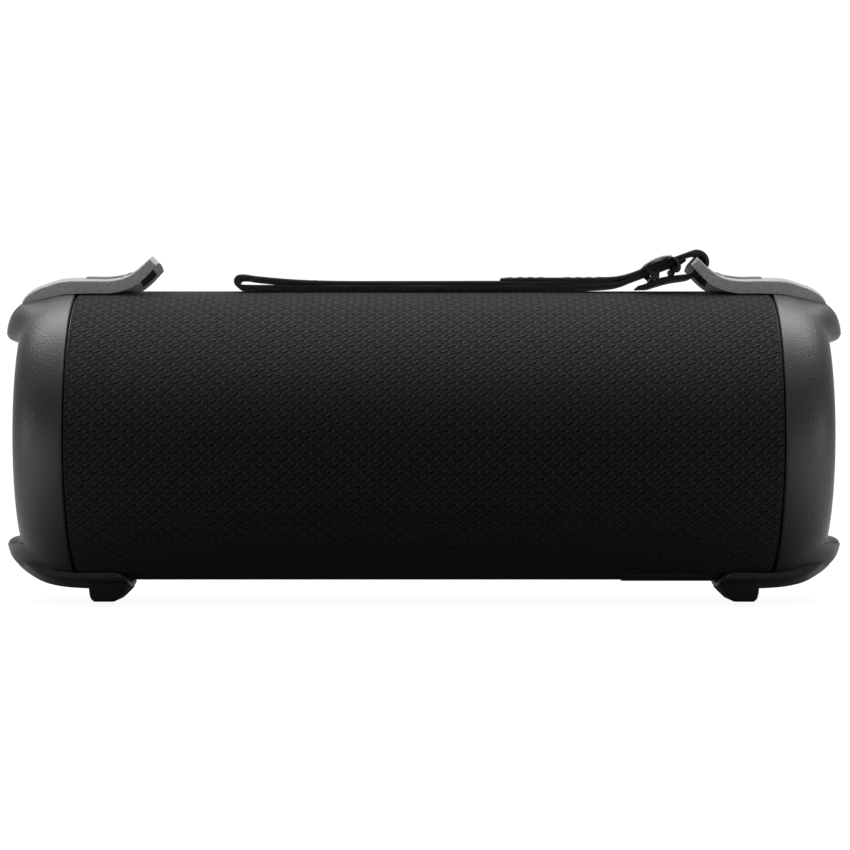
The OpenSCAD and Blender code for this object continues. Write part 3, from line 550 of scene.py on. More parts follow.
BOARD = spotted("circuit board", (0.01, 0.11, 0.05), (0.02, 0.17, 0.08), 420, 0.35)
CHIPS = spotted("components", (0.02, 0.02, 0.022), (0.05, 0.05, 0.055), 300, 0.4)
WIRE = spotted("wire", (0.45, 0.03, 0.02), (0.55, 0.05, 0.03), 200, 0.4)
LENS = spotted("status light", (0.7, 0.71, 0.68), (0.85, 0.85, 0.82), 700, 0.25)
WEB = woven("hand strap webbing", (0.004, 0.004, 0.0042), (0.03, 0.03, 0.031))
THREAD = spotted("sewing thread", (0.012, 0.012, 0.013), (0.035, 0.035, 0.036), 3000, 0.6)


# ---- barrel --------------------------------------------------------------------------------------

def barrel_grid(x, turn, radius):
    """Points on the barrel at each turn (angle from straight up, towards the far side) and x."""
    t, x = np.meshgrid(turn, x, indexing="ij")
    r = radius(x) if callable(radius) else radius
    return np.stack([x, r * np.sin(t), r * np.cos(t)], -1)


def stops(low, high, count, inner=()):
    """Evenly spaced values from low to high, with the inner ones moved onto given stops."""
    values = np.linspace(low, high, count)
    for stop in inner:
        values[np.abs(values - stop).argmin()] = stop
    return values


def make_sleeve():
    """A thin tube whose ends roll inwards as a quarter circle, with windows for keys and sockets."""
    roll, turns = 0.7, 288
    panel_x = KEY_COUNT * KEY_PITCH / 2 + 8.05
    key_half = math.asin((PANEL_HALF + 0.05) / 38)
    port_half = math.asin((PORT_HALF + 1) / 38)
    windows = [((-panel_x, panel_x), (KEY_TILT - key_half, KEY_TILT + key_half)),
               ((PORT_X[0] - 1, PORT_X[1] + 1),
                (math.pi + PORT_TILT - port_half, math.pi + PORT_TILT + port_half))]
    x_edges, turn_edges = ([edge for window in windows for edge in window[k]] for k in (0, 1))
    x = stops(-SLEEVE_HALF + roll, SLEEVE_HALF - roll, 121, x_edges)
    bend = np.sin(np.linspace(0, np.pi / 2, 6)[1:]) * roll
    x = np.concatenate([-SLEEVE_HALF + roll - bend[::-1], x, SLEEVE_HALF - roll + bend])
    turn = stops(0, 2 * np.pi, turns + 1, turn_edges)[:-1]
    middle_x = (x[1:] + x[:-1]) / 2
    middle_turn = turn + np.pi / turns
    keep = np.ones((len(turn), len(x) - 1), bool)
    for (x0, x1), (t0, t1) in windows:
        turn_in = (middle_turn > t0) & (middle_turn < t1)
        keep &= ~(turn_in[:, None] & ((middle_x > x0) & (middle_x < x1))[None])

    def outer(x):
        past = np.clip(np.abs(x) - (SLEEVE_HALF - roll), 0, roll)
        return SLEEVE_R - roll + np.sqrt(roll**2 - past**2)

    part = plate(barrel_grid(x, turn, outer), barrel_grid(x, turn, SLEEVE_R - SLEEVE_T), keep, wrap_rows=True)
    add_piece("fabric_sleeve_knit", [part], "speaker", FABRIC, stand_for=["fabric_sleeve"])


# ---- end caps ------------------------------------------------------------------------------------

def shoulder(r):
    """x of the plain shoulder at a radius: a quarter ellipse from the seam to the outer edge, then flat."""
    high = np.clip((r - EDGE_R) / (CAP_R - EDGE_R), 0, 1)
    return LIP_X + (EDGE_X - LIP_X) * np.sqrt(1 - high**2)


def cap_sections():
    """One closed outline for each angle round the axis. The shoulder swells to the lobe's curve by a
    smooth step of the distance from the barrel's middle plane, and towards its tip the lobe turns
    from round the axis to straight across. Each lobe stops at its crease, a level line. From there a
    quarter-ellipse lip runs back to the level shelf, and past the shelf the surface is the plain
    shoulder again, down to the round edge of the opening and along the wall to the recess floor."""
    columns = 320
    turn = np.linspace(0, 2 * np.pi, columns, endpoint=False)[:, None]
    off = np.arccos(np.abs(np.cos(turn)))
    upper = np.cos(turn) > 0
    level = np.maximum(np.cos(off), 0.02)
    crease_r = soft_min(np.where(upper, *CREASE) / level, 37 + 0 * off)
    shelf_r = soft_min(np.where(upper, *SHELF) / level, 36 + 0 * off)
    edge_r = soft_min(shelf_r, EDGE_R + 0 * off, 90)
    open_r, floor_r = (soft_min(shelf_r, far + 0 * off, 60) for far in (EDGE_R - 0.7, RECESS_R))
    a = np.linspace(0, np.pi / 2, 26)[None]
    b = np.linspace(0, np.pi / 2, 10)[None]
    edge_turn, k = b[:, ::3], np.ones((columns, 1))

    outer_r = crease_r + (CAP_R - crease_r) * np.cos(a)
    swell = 1 - smoothstep(10.5, 21.5, outer_r * np.sin(off))
    lobe = spline(LOBE, 12)[::-1]
    straight = 0.7 * (1 - smoothstep(33, 38.5, outer_r))
    lobe_x = np.interp(outer_r - outer_r * (1 - np.cos(off)) * straight, lobe[:, 1], lobe[:, 0])
    outer_x = shoulder(outer_r) + (lobe_x - shoulder(outer_r)) * swell
    tip, swell = outer_x[:, -1:], swell[:, -1:]

    lip_r = crease_r - (crease_r - shelf_r) * (0.03 + 0.97 * np.sin(b))
    arch = EDGE_X - EDGE_DROP + (tip - 0.2 * swell - EDGE_X + EDGE_DROP) * np.cos(b) ** 0.9
    lip_x = shoulder(lip_r) + (arch - shoulder(lip_r)) * swell
    land_r = edge_r + (shelf_r - edge_r) * np.cos(a[:, ::2])
    land_x = shoulder(land_r) - EDGE_DROP * swell
    rim_r = edge_r - (edge_r - open_r) * np.sin(edge_turn)
    rim_x = EDGE_X - EDGE_DROP * swell - 0.35 * (1 - np.cos(edge_turn)) - 0.02

    floor_x = RECESS_X + (SHELF_X - RECESS_X) * smoothstep(0.2, 1.6, RECESS_R - floor_r)
    down = np.linspace(0, 1, 5)[None]
    wall_x = EDGE_X - 0.9 + (floor_x + 0.5 - EDGE_X + 0.9) * down
    wall_r = open_r + (floor_r - open_r) * down
    back_r = 36
    floor = [(floor_x + 0.12, floor_r - 0.12), (floor_x, floor_r - 0.5), (floor_x - 0.1, floor_r - 0.5),
             (k * RECESS_X - 0.1, k * back_r), (k * SEAM_X, k * back_r)]
    seam = [(k * (SEAM_X + past), k * (CAP_R - short)) for past, short in
            ((0, 0.62), (0.06, 0.36), (0.2, 0.15), (0.38, 0.04))]
    bands = [(outer_x, outer_r), (lip_x, lip_r), (land_x, land_r), (rim_x, rim_r), (wall_x, wall_r)]
    x, r = (np.concatenate(part, 1) for part in zip(*(seam + bands + floor)))
    return np.stack([x, r * np.sin(turn), r * np.cos(turn)], -1)


def make_caps():
    """A cap at each end of the barrel."""
    for side, name in ends():
        add_piece(f"end_cap_{name}_shell", [loft(cap_sections(), closed=True)], "speaker",
                  CAP_PLASTIC, side, sharp=24, stand_for=[f"end_cap_{name}"])


# ---- brackets, pads and feet ---------------------------------------------------------------------

def widths(half, edge, count, inner=()):
    """Stops across a piece: even ones in the middle and closer ones over the last edge of each side."""
    near = half - edge + edge * np.sin(np.linspace(0, np.pi / 2, 7)[1:])
    return np.concatenate([-near[::-1], stops(edge - half, half - edge, count, inner), near])


def arm(outer, under, where, y, up=1, edge=1e-6, tip_bow=0.0, end_bow=0.0):
    """A bracket as two grids: outlines read at the same positions and carried from front to back at
    equal distance from the barrel's axis, so that the arm wraps it. Over the last edge of width the
    outer face falls off as a quarter circle. Towards its sides the arm draws back by tip_bow at its
    outer end, as a square of y, and by end_bow at its inner end, as an eighth power."""
    share = np.abs(y / y.max())[None]
    past = np.clip((np.abs(y) - (y.max() - edge)) / edge, 0, 1)
    faces = []
    for outline, fall in ((outer, edge * (1 - np.sqrt(1 - past**2))), (under, 0 * past)):
        p = along(outline, where)
        r = p[:, 1][:, None] - fall[None]
        z = up * np.sqrt(r**2 - y[None] ** 2)
        x = p[:, :1] - tip_bow * share**2 * smoothstep(98, 108, p[:, :1])
        x = x + end_bow * share**8 * (1 - smoothstep(78, 84, p[:, :1]))
        faces.append(np.stack([x, np.broadcast_to(y, z.shape), z], -1))
    return faces


def make_top_brackets():
    """The slotted arm; two rails stay at the sides of the strap's slot, and a bar closes it."""
    where = np.unique(np.concatenate([np.linspace(0, len(HORN_TOP) - 1, 71), SLOT]))
    y = widths(HORN_HALF, HORN_EDGE, 21, (-RAIL_IN, RAIL_IN))
    top, under = arm(HORN_TOP, HORN_UNDER, where, y, edge=HORN_EDGE, tip_bow=0.4)
    middle = (where[1:] + where[:-1]) / 2
    slot_rows = (middle > SLOT[0]) & (middle < SLOT[1])
    centre = np.abs((y[1:] + y[:-1]) / 2) < RAIL_IN
    keep = ~(slot_rows[:, None] & centre[None])
    for side, name in ends():
        piece = add_piece(f"top_bracket_{name}_arm", [plate(top, under, keep)], "speaker",
                          BRACKET_PLASTIC, side, bevel=0.16, stand_for=[f"top_bracket_{name}"])
        # The slot's walls get painted shade.
        shade_slot_walls(piece)


def shade_slot_walls(piece):
    """Paints the walls of the strap slot near-black, as painted shade inside the slot."""
    mesh = piece.data
    centre, normal = (np.zeros(len(mesh.polygons) * 3) for _ in range(2))
    mesh.polygons.foreach_get("center", centre)
    mesh.polygons.foreach_get("normal", normal)
    wall = (np.abs(centre[1::3]) < (RAIL_IN + 0.05) * MM) & (np.abs(normal[1::3]) > 0.9)
    mesh.materials.append(FRAME_BLACK_AND_SHADE)
    mesh.polygons.foreach_set("material_index", wall.astype(np.int32))


def make_pads():
    """A thin raised pad on each top bracket and a narrow ridge beside it, both following the arm."""
    for side, name in ends():
        parts = []
        for x0, x1, half, rise in PAD_PARTS:
            count = np.linspace(len(HORN_TOP) - 1, 0, 200)
            where = np.interp(np.linspace(x1, x0, 15), along(HORN_TOP, count)[:, 0], count)
            lifted = [(x, r + rise) for x, r in HORN_TOP]
            sunk = [(x, r - 0.5) for x, r in HORN_TOP]
            parts.append(plate(*arm(lifted, sunk, where, np.linspace(-half, half, 13))))
        add_piece(f"bracket_pad_{name}_inlay", parts, "speaker", PAD_RUBBER, side, bevel=0.16,
                  stand_for=[f"bracket_pad_{name}"])


def make_bottom_brackets():
    """The crowned arm under each cap."""
    where = np.linspace(0, len(BASE_OUT) - 1, 57)
    y = widths(BASE_HALF, BASE_EDGE, 21)
    for side, name in ends():
        faces = arm(BASE_OUT, BASE_IN, where, y, up=-1, edge=BASE_EDGE, tip_bow=1.2, end_bow=2.3)
        add_piece(f"bottom_bracket_{name}_arm", [plate(*faces)], "speaker",
                  CAP_PLASTIC, side, bevel=0.35, stand_for=[f"bottom_bracket_{name}"])


def make_feet():
    """A moulded block. Over the last millimetre at each side its outline shrinks towards its core line
    as a quarter circle."""
    for side, name in ends():
        outline = spline([(x, -depth) for x, depth in FOOT] + [(FOOT[0][0], -FOOT[0][1])], 5)[:-1]
        core = np.array([FOOT_CORE[0], -FOOT_CORE[1]])
        b = np.linspace(0, np.pi / 2, 7)
        y = np.concatenate([-FOOT_HALF + 1 - np.sin(b[::-1]), FOOT_HALF - 1 + np.sin(b)])
        size = 1 - 0.2 * (1 - np.cos(np.concatenate([b[::-1], b])))
        loops = core + (outline - core)[None] * size[:, None, None]
        block = loft(np.stack([loops[..., 0], y[:, None] + 0 * loops[..., 0], loops[..., 1]], -1))
        add_piece(f"foot_{name}_block", [block], "speaker", FOOT_RUBBER, side,
                  stand_for=[f"foot_{name}"])


# ---- passive radiators ---------------------------------------------------------------------------

DISC_R = 19.8
FRAME_IN = 26.6
DISC_X = 93.2
ROLL_TALL = 2.5
SECTORS = 16


def surround_section():
    """The half roll's outline: an outer and an inner arch, a half turn each, on a foot at either side."""
    middle, roll = (FRAME_IN + DISC_R) / 2, (FRAME_IN - DISC_R) / 2
    front, back = DISC_X + 0.35, DISC_X - 0.25
    a = np.linspace(0, np.pi, 17)
    outer = np.stack([front + ROLL_TALL * np.sin(a) ** 0.9, middle + (roll - 0.25) * np.cos(a)], -1)
    inner = np.stack([back + (ROLL_TALL - 0.1) * np.sin(a) ** 0.9, middle + (roll - 0.85) * np.cos(a)], -1)
    return np.vstack([outer, [(front, DISC_R - 0.7), (back, DISC_R - 0.7)], inner[::-1],
                      [(back, FRAME_IN + 0.5), (front, FRAME_IN + 0.5)]])


def make_radiators():
    """Frame ring, dished disc, and a half-roll surround in separate sectors."""
    frame_profile = [(90.9, FRAME_IN), (90.9, 29.4), (93.9, 29.4), (94.25, 29.3), (94.4, 29), (94.4, 27.3),
                     (94.2, 26.9), (93.8, FRAME_IN)]
    bowl = np.linspace(0, 1, 12)
    disc_profile = ([(DISC_X - 1.2, 0.02), (DISC_X + 1.5, 0.02), (DISC_X + 1.42, 5.5), (DISC_X + 1.2, 10.6),
                     (DISC_X + 0.95, 11.2), (DISC_X + 0.6, 11.6), (DISC_X + 0.6, 12.1)]
                    + [(DISC_X + 0.6 + 0.25 * math.sin(math.pi * t), 12.3 + 5.6 * t) for t in bowl]
                    + [(DISC_X + 0.75, 18.3), (DISC_X + 0.9, 18.8), (DISC_X + 0.85, 19.4),
                       (DISC_X + 0.5, DISC_R - 0.05), (DISC_X - 1.2, DISC_R - 0.05)])
    section = surround_section()
    half = math.pi / SECTORS
    for side, name in ends():
        add_piece(f"radiator_frame_{name}_ring", [ring(frame_profile)], "speaker",
                  DARK_PLASTIC, side, stand_for=[f"radiator_frame_{name}"])
        add_piece(f"radiator_disc_{name}_plate", [ring(disc_profile)], f"radiator_{name}",
                  DISC_METAL, side, stand_for=[f"radiator_disc_{name}"])
        for k in range(SECTORS):
            centre = 2 * half * k
            t = centre + np.linspace(-half, half, 13)[:, None]
            sweep = np.stack([section[None, :, 0] + 0 * t, section[None, :, 1] * np.sin(t),
                              section[None, :, 1] * np.cos(t)], -1)
            whole = f"radiator_surround_{name}"
            part = add_piece(f"{whole}_{k + 1:02d}", [strip_ends(sweep)], "speaker",
                             SURROUND_RUBBER, side, stand_for=[whole] if k == 0 else ())
            part.parent = None
            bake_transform(part)


def strip_ends(sections):
    """A skin over thin folded loops whose two ends are shut by quads between their two halves."""
    rows, columns = sections.shape[:2]
    j = np.arange(columns // 2 - 1)
    ladder = np.stack([j, j + 1, columns - 2 - j, columns - 1 - j], -1)
    return sections.reshape(-1, 3), [quads(rows, columns, False, True), ladder, ladder + (rows - 1) * columns]


# ---- strap ---------------------------------------------------------------------------------------

def tape(path, thickness):
    """Webbing carried along a smooth [x, z] path: a flat section whose two edges are half ellipses and
    which wanders sideways in two slow waves. Also gives each point's distance along and across, for
    the weave."""
    p = np.asarray(path, float)
    step = np.gradient(p, axis=0)
    step /= np.linalg.norm(step, axis=1, keepdims=True)
    normal = np.stack([-step[:, 1], step[:, 0]], -1)
    far = np.concatenate([[0], np.cumsum(np.linalg.norm(np.diff(p, axis=0), axis=1))])
    thick = np.interp(np.linspace(0, 1, len(p)), np.linspace(0, 1, len(thickness)), thickness)
    curve = np.linspace(-np.pi / 2, np.pi / 2, 7)
    y_edge, n_edge = WEB_HALF - WEB_EDGE + WEB_EDGE * np.cos(curve), 0.5 * np.sin(curve)
    flat = np.linspace(WEB_HALF - WEB_EDGE, -WEB_HALF + WEB_EDGE, 14)[1:-1]
    y = np.concatenate([y_edge, flat, -y_edge[::-1], flat[::-1]])
    n = np.concatenate([n_edge, 0 * flat + 0.5, n_edge[::-1], 0 * flat - 0.5])
    wander = 0.12 * np.sin(far / 9) + 0.07 * np.sin(far / 3.7 + 1)
    away = n[None] * thick[:, None]
    points = np.stack([p[:, :1] + normal[:, :1] * away, y[None] + wander[:, None] + 0 * away,
                       p[:, 1:] + normal[:, 1:] * away], -1)
    uv = np.stack([np.broadcast_to(far[:, None], away.shape), np.broadcast_to(y + 20.0, away.shape)], -1)
    return points, uv


def add_tape(name, tapes, body):
    """Strips of webbing joined to one piece. Its weave's UV is that of the nearest point of the strips,
    written by corner."""
    parts = [loft(points) for points, _ in tapes]
    piece = add_piece(name, parts, body, WEB, sharp=60)
    spots = np.concatenate([np.vstack([uv.reshape(-1, 2), uv[0].mean(0), uv[-1].mean(0)]) for _, uv in tapes])
    places = np.concatenate([points for points, _ in parts])
    mesh = piece.data
    co = np.zeros(len(mesh.vertices) * 3, np.float32)
    mesh.vertices.foreach_get("co", co)
    co = co.reshape(-1, 3) / MM - [0, 0, AXIS_Z]
    near = np.empty(len(co), int)
    for k in range(0, len(co), 500):
        gap = ((co[k:k + 500, None] - places[None]) ** 2).sum(-1)
        near[k:k + 500] = gap.argmin(1)
    corner = np.zeros(len(mesh.loops), np.int32)
    mesh.loops.foreach_get("vertex_index", corner)
    layer = mesh.uv_layers.new(name="tape")
    layer.data.foreach_set("uv", spots[near][corner].astype(np.float32).ravel())
    return piece


def dashes(start, end, surface):
    """A row of stitches between two [x, y] spots: each is a small ellipsoid lying on the surface."""
    pitch, long, wide, tall = 2.6, 0.95, 0.24, 0.2
    a, b = np.array(start, float), np.array(end, float)
    length = np.linalg.norm(b - a)
    way = (b - a) / length
    side = np.array([-way[1], way[0]])
    count = max(1, round(length / pitch))
    u = np.linspace(0, np.pi, 7)[:, None]
    v = np.linspace(0, 2 * np.pi, 6, endpoint=False)[None]
    made = []
    for k in range(count):
        middle = a + (b - a) * (k + 0.5) / count
        run, out, up = long * np.cos(u) + 0 * v, wide * np.sin(u) * np.cos(v), tall * np.sin(u) * np.sin(v)
        x = middle[0] + run * way[0] + out * side[0]
        y = middle[1] + run * way[1] + out * side[1]
        made.append(loft(np.stack([x, y, surface(x) + 0.06 + up], -1)[1:-1]))
    return made


def ramp(x, under=0.0):
    """A spot on the straight stretch, which leaves the turn round the bar at the strap's slope."""
    leave_x, leave_z = BAR[0] - WRAP_R * math.sin(LIFT), BAR[1] + WRAP_R * math.cos(LIFT)
    return x, leave_z - math.tan(LIFT) * (leave_x - x) - under / math.cos(LIFT)


def top_of(path):
    """The height of a path's upper face, by x."""
    order = np.argsort(path[:, 0])
    return lambda x: np.interp(x, path[order, 0], path[order, 1]) + WEB_T / 2


def make_strap():
    """Two tapes and their stitches. The first tape starts at the tail's hem, turns round the horn's bar
    and runs down to the lap. The second starts under the lap, folds back at the far end and comes
    back underneath."""
    b = np.linspace(-np.pi / 2, np.pi / 2 + LIFT, 22)[:, None]
    turn = np.hstack([BAR[0] + WRAP_R * np.cos(b), BAR[1] + WRAP_R * np.sin(b)])
    tail = spline([(57, 39.6), (58.6, 39.83), (60.4, 40.25), (63.4, 41.25), (66.8, 41.95), (70.6, 42.45),
                   turn[0]], 6)[:-1]
    down = spline([turn[-1], ramp(66), ramp(60), ramp(54.6), (51.4, 41.85), (48, 41.6), (44, 41.5),
                   (34, 41.48), (26, 41.5), (20.4, 41.35)], 8)[1:]
    first = np.vstack([tail, turn, down])
    count = len(first)
    tail_end = len(tail) / count
    thick = np.interp(np.arange(count) / (count - 1),
                      np.array([0, 0.17, 0.33, 0.5, 0.67, 0.83, 1, 1 / tail_end]) * tail_end,
                      [0.4, 0.8, 1.4, 1.6, 1.3, 1.12, WEB_T, WEB_T])
    over = spline([(50.6, 40.95), (44, 40.5), (34, 40.45), (26, 40.5), (19, 40.62), (8, 40.6), (-8, 40.58),
                   (-20, 40.6), (-29, 40.75), (-36, 41.1), (-44, 41.8), (-47.6, 42.3), (-49.4, 42.15),
                   (-50.1, 41.2), (-49.6, 40.05), (-47.8, 39.6), (-40, 39.53), (-20, 39.53), (10, 39.53),
                   (36.5, 39.55), (45, 39.75), (50, 40.1), (53, 40.75), ramp(56, 1.08), ramp(62, 1.08),
                   ramp(69.6, 1.08)], 7)
    piece = add_tape("hand_strap_webbing", [tape(first, thick), tape(over, [WEB_T - 0.02] * len(over))],
                     "hand_strap")
    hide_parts("hand_strap")

    lap = top_of(down[down[:, 0] < 52])
    rows = []
    for x0, x1 in ((21.5, 32.5), (37, 48)):
        corners = [(x0, -5.6), (x1, -5.6), (x1, 5.6), (x0, 5.6)]
        for k in range(4):
            rows += dashes(corners[k], corners[(k + 1) % 4], lap)
        rows += dashes(corners[0], corners[2], lap) + dashes(corners[1], corners[3], lap)
    rows += dashes((-29, -6), (-29, 6), top_of(over[:74]))
    add_piece("hand_strap_stitching", rows, "hand_strap", THREAD)


def in_slider(points):
    """Slider outlines are [along the strap, out of it], from the strap's top line at the slider."""
    p = np.asarray(points, float)
    reach = WRAP_R + WEB_T / 2
    top_x, top_z = BAR[0] - reach * math.sin(LIFT), BAR[1] + reach * math.cos(LIFT)
    base = (SLIDER_X, top_z - math.tan(LIFT) * (top_x - SLIDER_X))
    c, s = math.cos(LIFT), math.sin(LIFT)
    return np.stack([base[0] + p[:, 0] * c - p[:, 1] * s, base[1] + p[:, 0] * s + p[:, 1] * c], -1)


def make_slider():
    """An arched plate over the webbing, and hooked posts beside it that carry two bars under it. The slider
    is black gloss plastic: the plate is painted light grey as a reflection of the overhead light, and the
    posts and bars are painted near-black as shade.
    """
    crest = spline([(-5.2, 0.32), (-4.4, 0.85), (-3, 1.22), (-1, 1.42), (1, 1.28), (2.3, 0.85),
                    (2.95, 0.3)], 6)
    belly = spline([(2.7, 0.26), (-1, 0.3), (-4.9, 0.26)], 9)
    arch = bulge(in_slider(np.vstack([crest, belly])), SLIDER_HALF, 0.45)
    add_piece("strap_slider_plate", [arch], "strap_slider", SLIDER_SHEEN_PLASTIC,
              stand_for=["strap_slider"])
    parts = []
    posts = ([(-4.9, 0.1), (-4, 0.1), (-3.6, -1.2), (-2.3, -2.6), (-2, -3.5), (-2.6, -4.2), (-3.4, -4.1),
              (-3.8, -3.2), (-4.5, -1.6)],
             [(2.2, 0.1), (3.1, 0.1), (4.1, -1.4), (4.2, -3.2), (3.3, -4.2), (2.4, -4.1), (2, -3.5),
              (3.1, -2.5), (3.1, -1.5)])
    for post in posts:
        points, faces = bulge(in_slider(spline(post + post[:1], 5)[:-1]), 0.7, 0.2)
        parts += [(points + [0, y, 0], faces) for y in (-POST_Y, POST_Y)]
    a = np.linspace(0, 2 * np.pi, 24, endpoint=False)
    for s, lean, long in ((-2.8, 0.4, 1.2), (2.8, 0.2, 0.85)):
        c, d = math.cos(lean), math.sin(lean)
        u, v = long * np.cos(a), 0.68 * np.sin(a)
        bar = np.stack([s + u * c - v * d, -2.98 + u * d + v * c], -1)
        parts.append(bulge(in_slider(bar), SLIDER_HALF - 0.5, 0.2))
    add_piece("strap_slider_frame", parts, "strap_slider", FRAME_BLACK_AND_SHADE)


# ---- socket cover and keys -----------------------------------------------------------------------

def tilted(points, tilt):
    """Turns points about the barrel's axis, the top towards the far side and the underside the other way."""
    p = np.asarray(points, float)
    c, s = math.cos(tilt), math.sin(tilt)
    return np.stack([p[..., 0], p[..., 1] * c + p[..., 2] * s, p[..., 2] * c - p[..., 1] * s], -1)


def curved_slab(x0, x1, half, outer, inner, up, tilt, rows=25):
    """A slab that follows the barrel between two radii, given by its length and half its width."""
    x, y = np.meshgrid(np.linspace(x0, x1, rows), np.linspace(-half, half, 9), indexing="ij")
    return plate(*(tilted(np.stack([x, y, up * np.sqrt(r**2 - y**2)], -1), tilt) for r in (outer, inner)))


def make_port_cover():
    """Soft lid with a sealing rib and a thin round hinge bead along its far edge."""
    x0, x1 = PORT_X
    lid = curved_slab(x0, x1, PORT_HALF, PORT_OUT, PORT_IN, -1, PORT_TILT)
    rib = curved_slab(x0 + 2, x1 - 2, 6.4, PORT_IN, PORT_IN - 0.5, -1, PORT_TILT)
    a = np.linspace(0, 2 * np.pi, 20, endpoint=False)
    far_z = -math.sqrt(PORT_OUT**2 - PORT_HALF**2)
    loop = np.stack([0 * a, PORT_HALF + 0.6 * np.cos(a), far_z + 0.6 * np.sin(a)], -1)
    bead = loft(tilted([loop + [x, 0, 0] for x in PORT_X], PORT_TILT))
    add_piece("port_cover_lid", [lid, rib, bead], "port_cover", SOFT_RUBBER, bevel=0.25,
              stand_for=["port_cover"])


def make_keys():
    """Domed round keys with their raised symbols, in a panel with a chamfered rim."""
    names = ("power", "pair", "minus", "play", "plus")
    a = np.linspace(0, 2 * np.pi, 48, endpoint=False)
    dome = [(KEY_R, 35.0), (KEY_R, 39.3), (KEY_R - 0.12, 39.62), (KEY_R - 0.4, 39.82),
            (KEY_R - 0.9, KEY_TOP), (3.2, 39.78), (1.6, 39.72), (0.05, 39.7)]
    for i, name in enumerate(names):
        x = (i - (KEY_COUNT - 1) / 2) * KEY_PITCH
        loops = [np.stack([x + r * np.cos(a), r * np.sin(a), 0 * a + h], -1) for r, h in dome]
        add_piece(f"{name}_key_cap", [loft([tilted(loop, KEY_TILT) for loop in loops])], f"{name}_key",
                  KEY_PLASTIC, sharp=50, stand_for=[f"{name}_key"])
        marks = [loft([tilted(p, KEY_TILT) for p in stack]) for stack in key_marks(name, x)]
        rings = [(tilted(p, KEY_TILT), faces) for p, faces in key_rings(name, x)]
        add_piece(f"{name}_key_symbol", marks + rings, f"{name}_key", MARK_PAINT, sharp=30)


def key_marks(name, x):
    """Raised straight-sided symbols, each a stack of two outlines."""
    bar = np.array([(-2, -0.35), (2, -0.35), (2, 0.35), (-2, 0.35)])
    shapes = {"minus": [bar], "plus": [bar, bar[:, ::-1]],
              "play": [np.array([(1.5, -2), (-2.1, 0), (1.5, 2)])],
              "power": [np.array([(-0.3, 0.3), (0.3, 0.3), (0.3, 2.7), (-0.3, 2.7)])], "pair": []}
    for shape in shapes[name]:
        yield [np.stack([x + shape[:, 0] * k, shape[:, 1] * k, 0 * shape[:, 0] + h], -1)
               for k, h in ((1, KEY_BASE), (1, KEY_TOP), (0.94, KEY_TOP + 0.06))]


def key_rings(name, x):
    """Raised round symbols: a broken ring for power, two rings for pairing."""
    rings = {"power": [(2.05, 0.6, 2 * np.pi - 0.6)], "pair": [(0.75, 0, 2 * np.pi), (2.3, 0, 2 * np.pi)]}
    for r, start, end in rings.get(name, []):
        whole = end - start > 6.2
        a = np.pi / 2 + np.linspace(start, end, 40, endpoint=not whole)[:, None]
        reach = np.array([r - 0.3, r - 0.27, r + 0.27, r + 0.3])[None]
        high = np.array([KEY_BASE, KEY_TOP + 0.05, KEY_TOP + 0.05, KEY_BASE])[None]
        loops = np.stack([x + reach * np.cos(a), reach * np.sin(a), high + 0 * a], -1)
        yield loft(loops, closed=whole)


def make_key_panel():
    """A strip that follows the barrel: round each key a patch whose rings turn smoothly from the key's
    circle to the patch's rectangle, and a plain strip at each end."""
    cell, hole = KEY_PITCH / 2, KEY_R + 0.25
    end_x = KEY_COUNT * cell
    parts = []
    a = np.linspace(0, 2 * np.pi, 72, endpoint=False)
    corner = math.atan2(PANEL_HALF, cell)
    for target in (corner, np.pi - corner, np.pi + corner, 2 * np.pi - corner):
        a[np.abs(a - target).argmin()] = target
    box_r = np.minimum(cell / np.maximum(np.abs(np.cos(a)), 1e-6),
                       PANEL_HALF / np.maximum(np.abs(np.sin(a)), 1e-6))
    for i in range(KEY_COUNT):
        share = np.concatenate([[0, 0, 0.06], np.linspace(0.2, 1, 7)])[:, None]
        drop = np.array([0.35, 0.1] + [0.0] * 8)[:, None]
        r = hole + (box_r[None] - hole) * share
        x, y = (i - (KEY_COUNT - 1) / 2) * KEY_PITCH + r * np.cos(a), r * np.sin(a)
        top = np.stack([x, y, np.sqrt((PANEL_OUT - drop) ** 2 - y**2)], -1)
        under = np.stack([x, y, np.sqrt(PANEL_IN**2 - y**2)], -1)
        loops = np.concatenate([top, under[::-1]])
        parts.append(loft(tilted(loops, KEY_TILT), closed=True))
    for x0, x1 in ((-end_x - 8, -end_x), (end_x, end_x + 8)):
        parts.append(curved_slab(x0, x1, PANEL_HALF, PANEL_OUT, PANEL_IN, 1, KEY_TILT, rows=5))
    add_piece("key_panel_strip", parts, "speaker", SOFT_RUBBER, sharp=50, stand_for=["key_panel"])
    lights = []
    for i in range(LIGHT_COUNT):
        loops = [np.stack([LIGHT_X + LIGHT_PITCH * i + r * np.cos(a), r * np.sin(a), 0 * a + h], -1)
                 for r, h in ((0.5, 38), (0.5, PANEL_OUT), (0.38, 39.2), (0.05, 39.23))]
        lights.append(loft([tilted(loop[::3], KEY_TILT) for loop in loops]))
    add_piece("status_light_lenses", lights, "speaker", LENS, sharp=50, stand_for=["status_leds"])


# ---- finish of the pieces that keep their CAD shape -------------------------------------------------

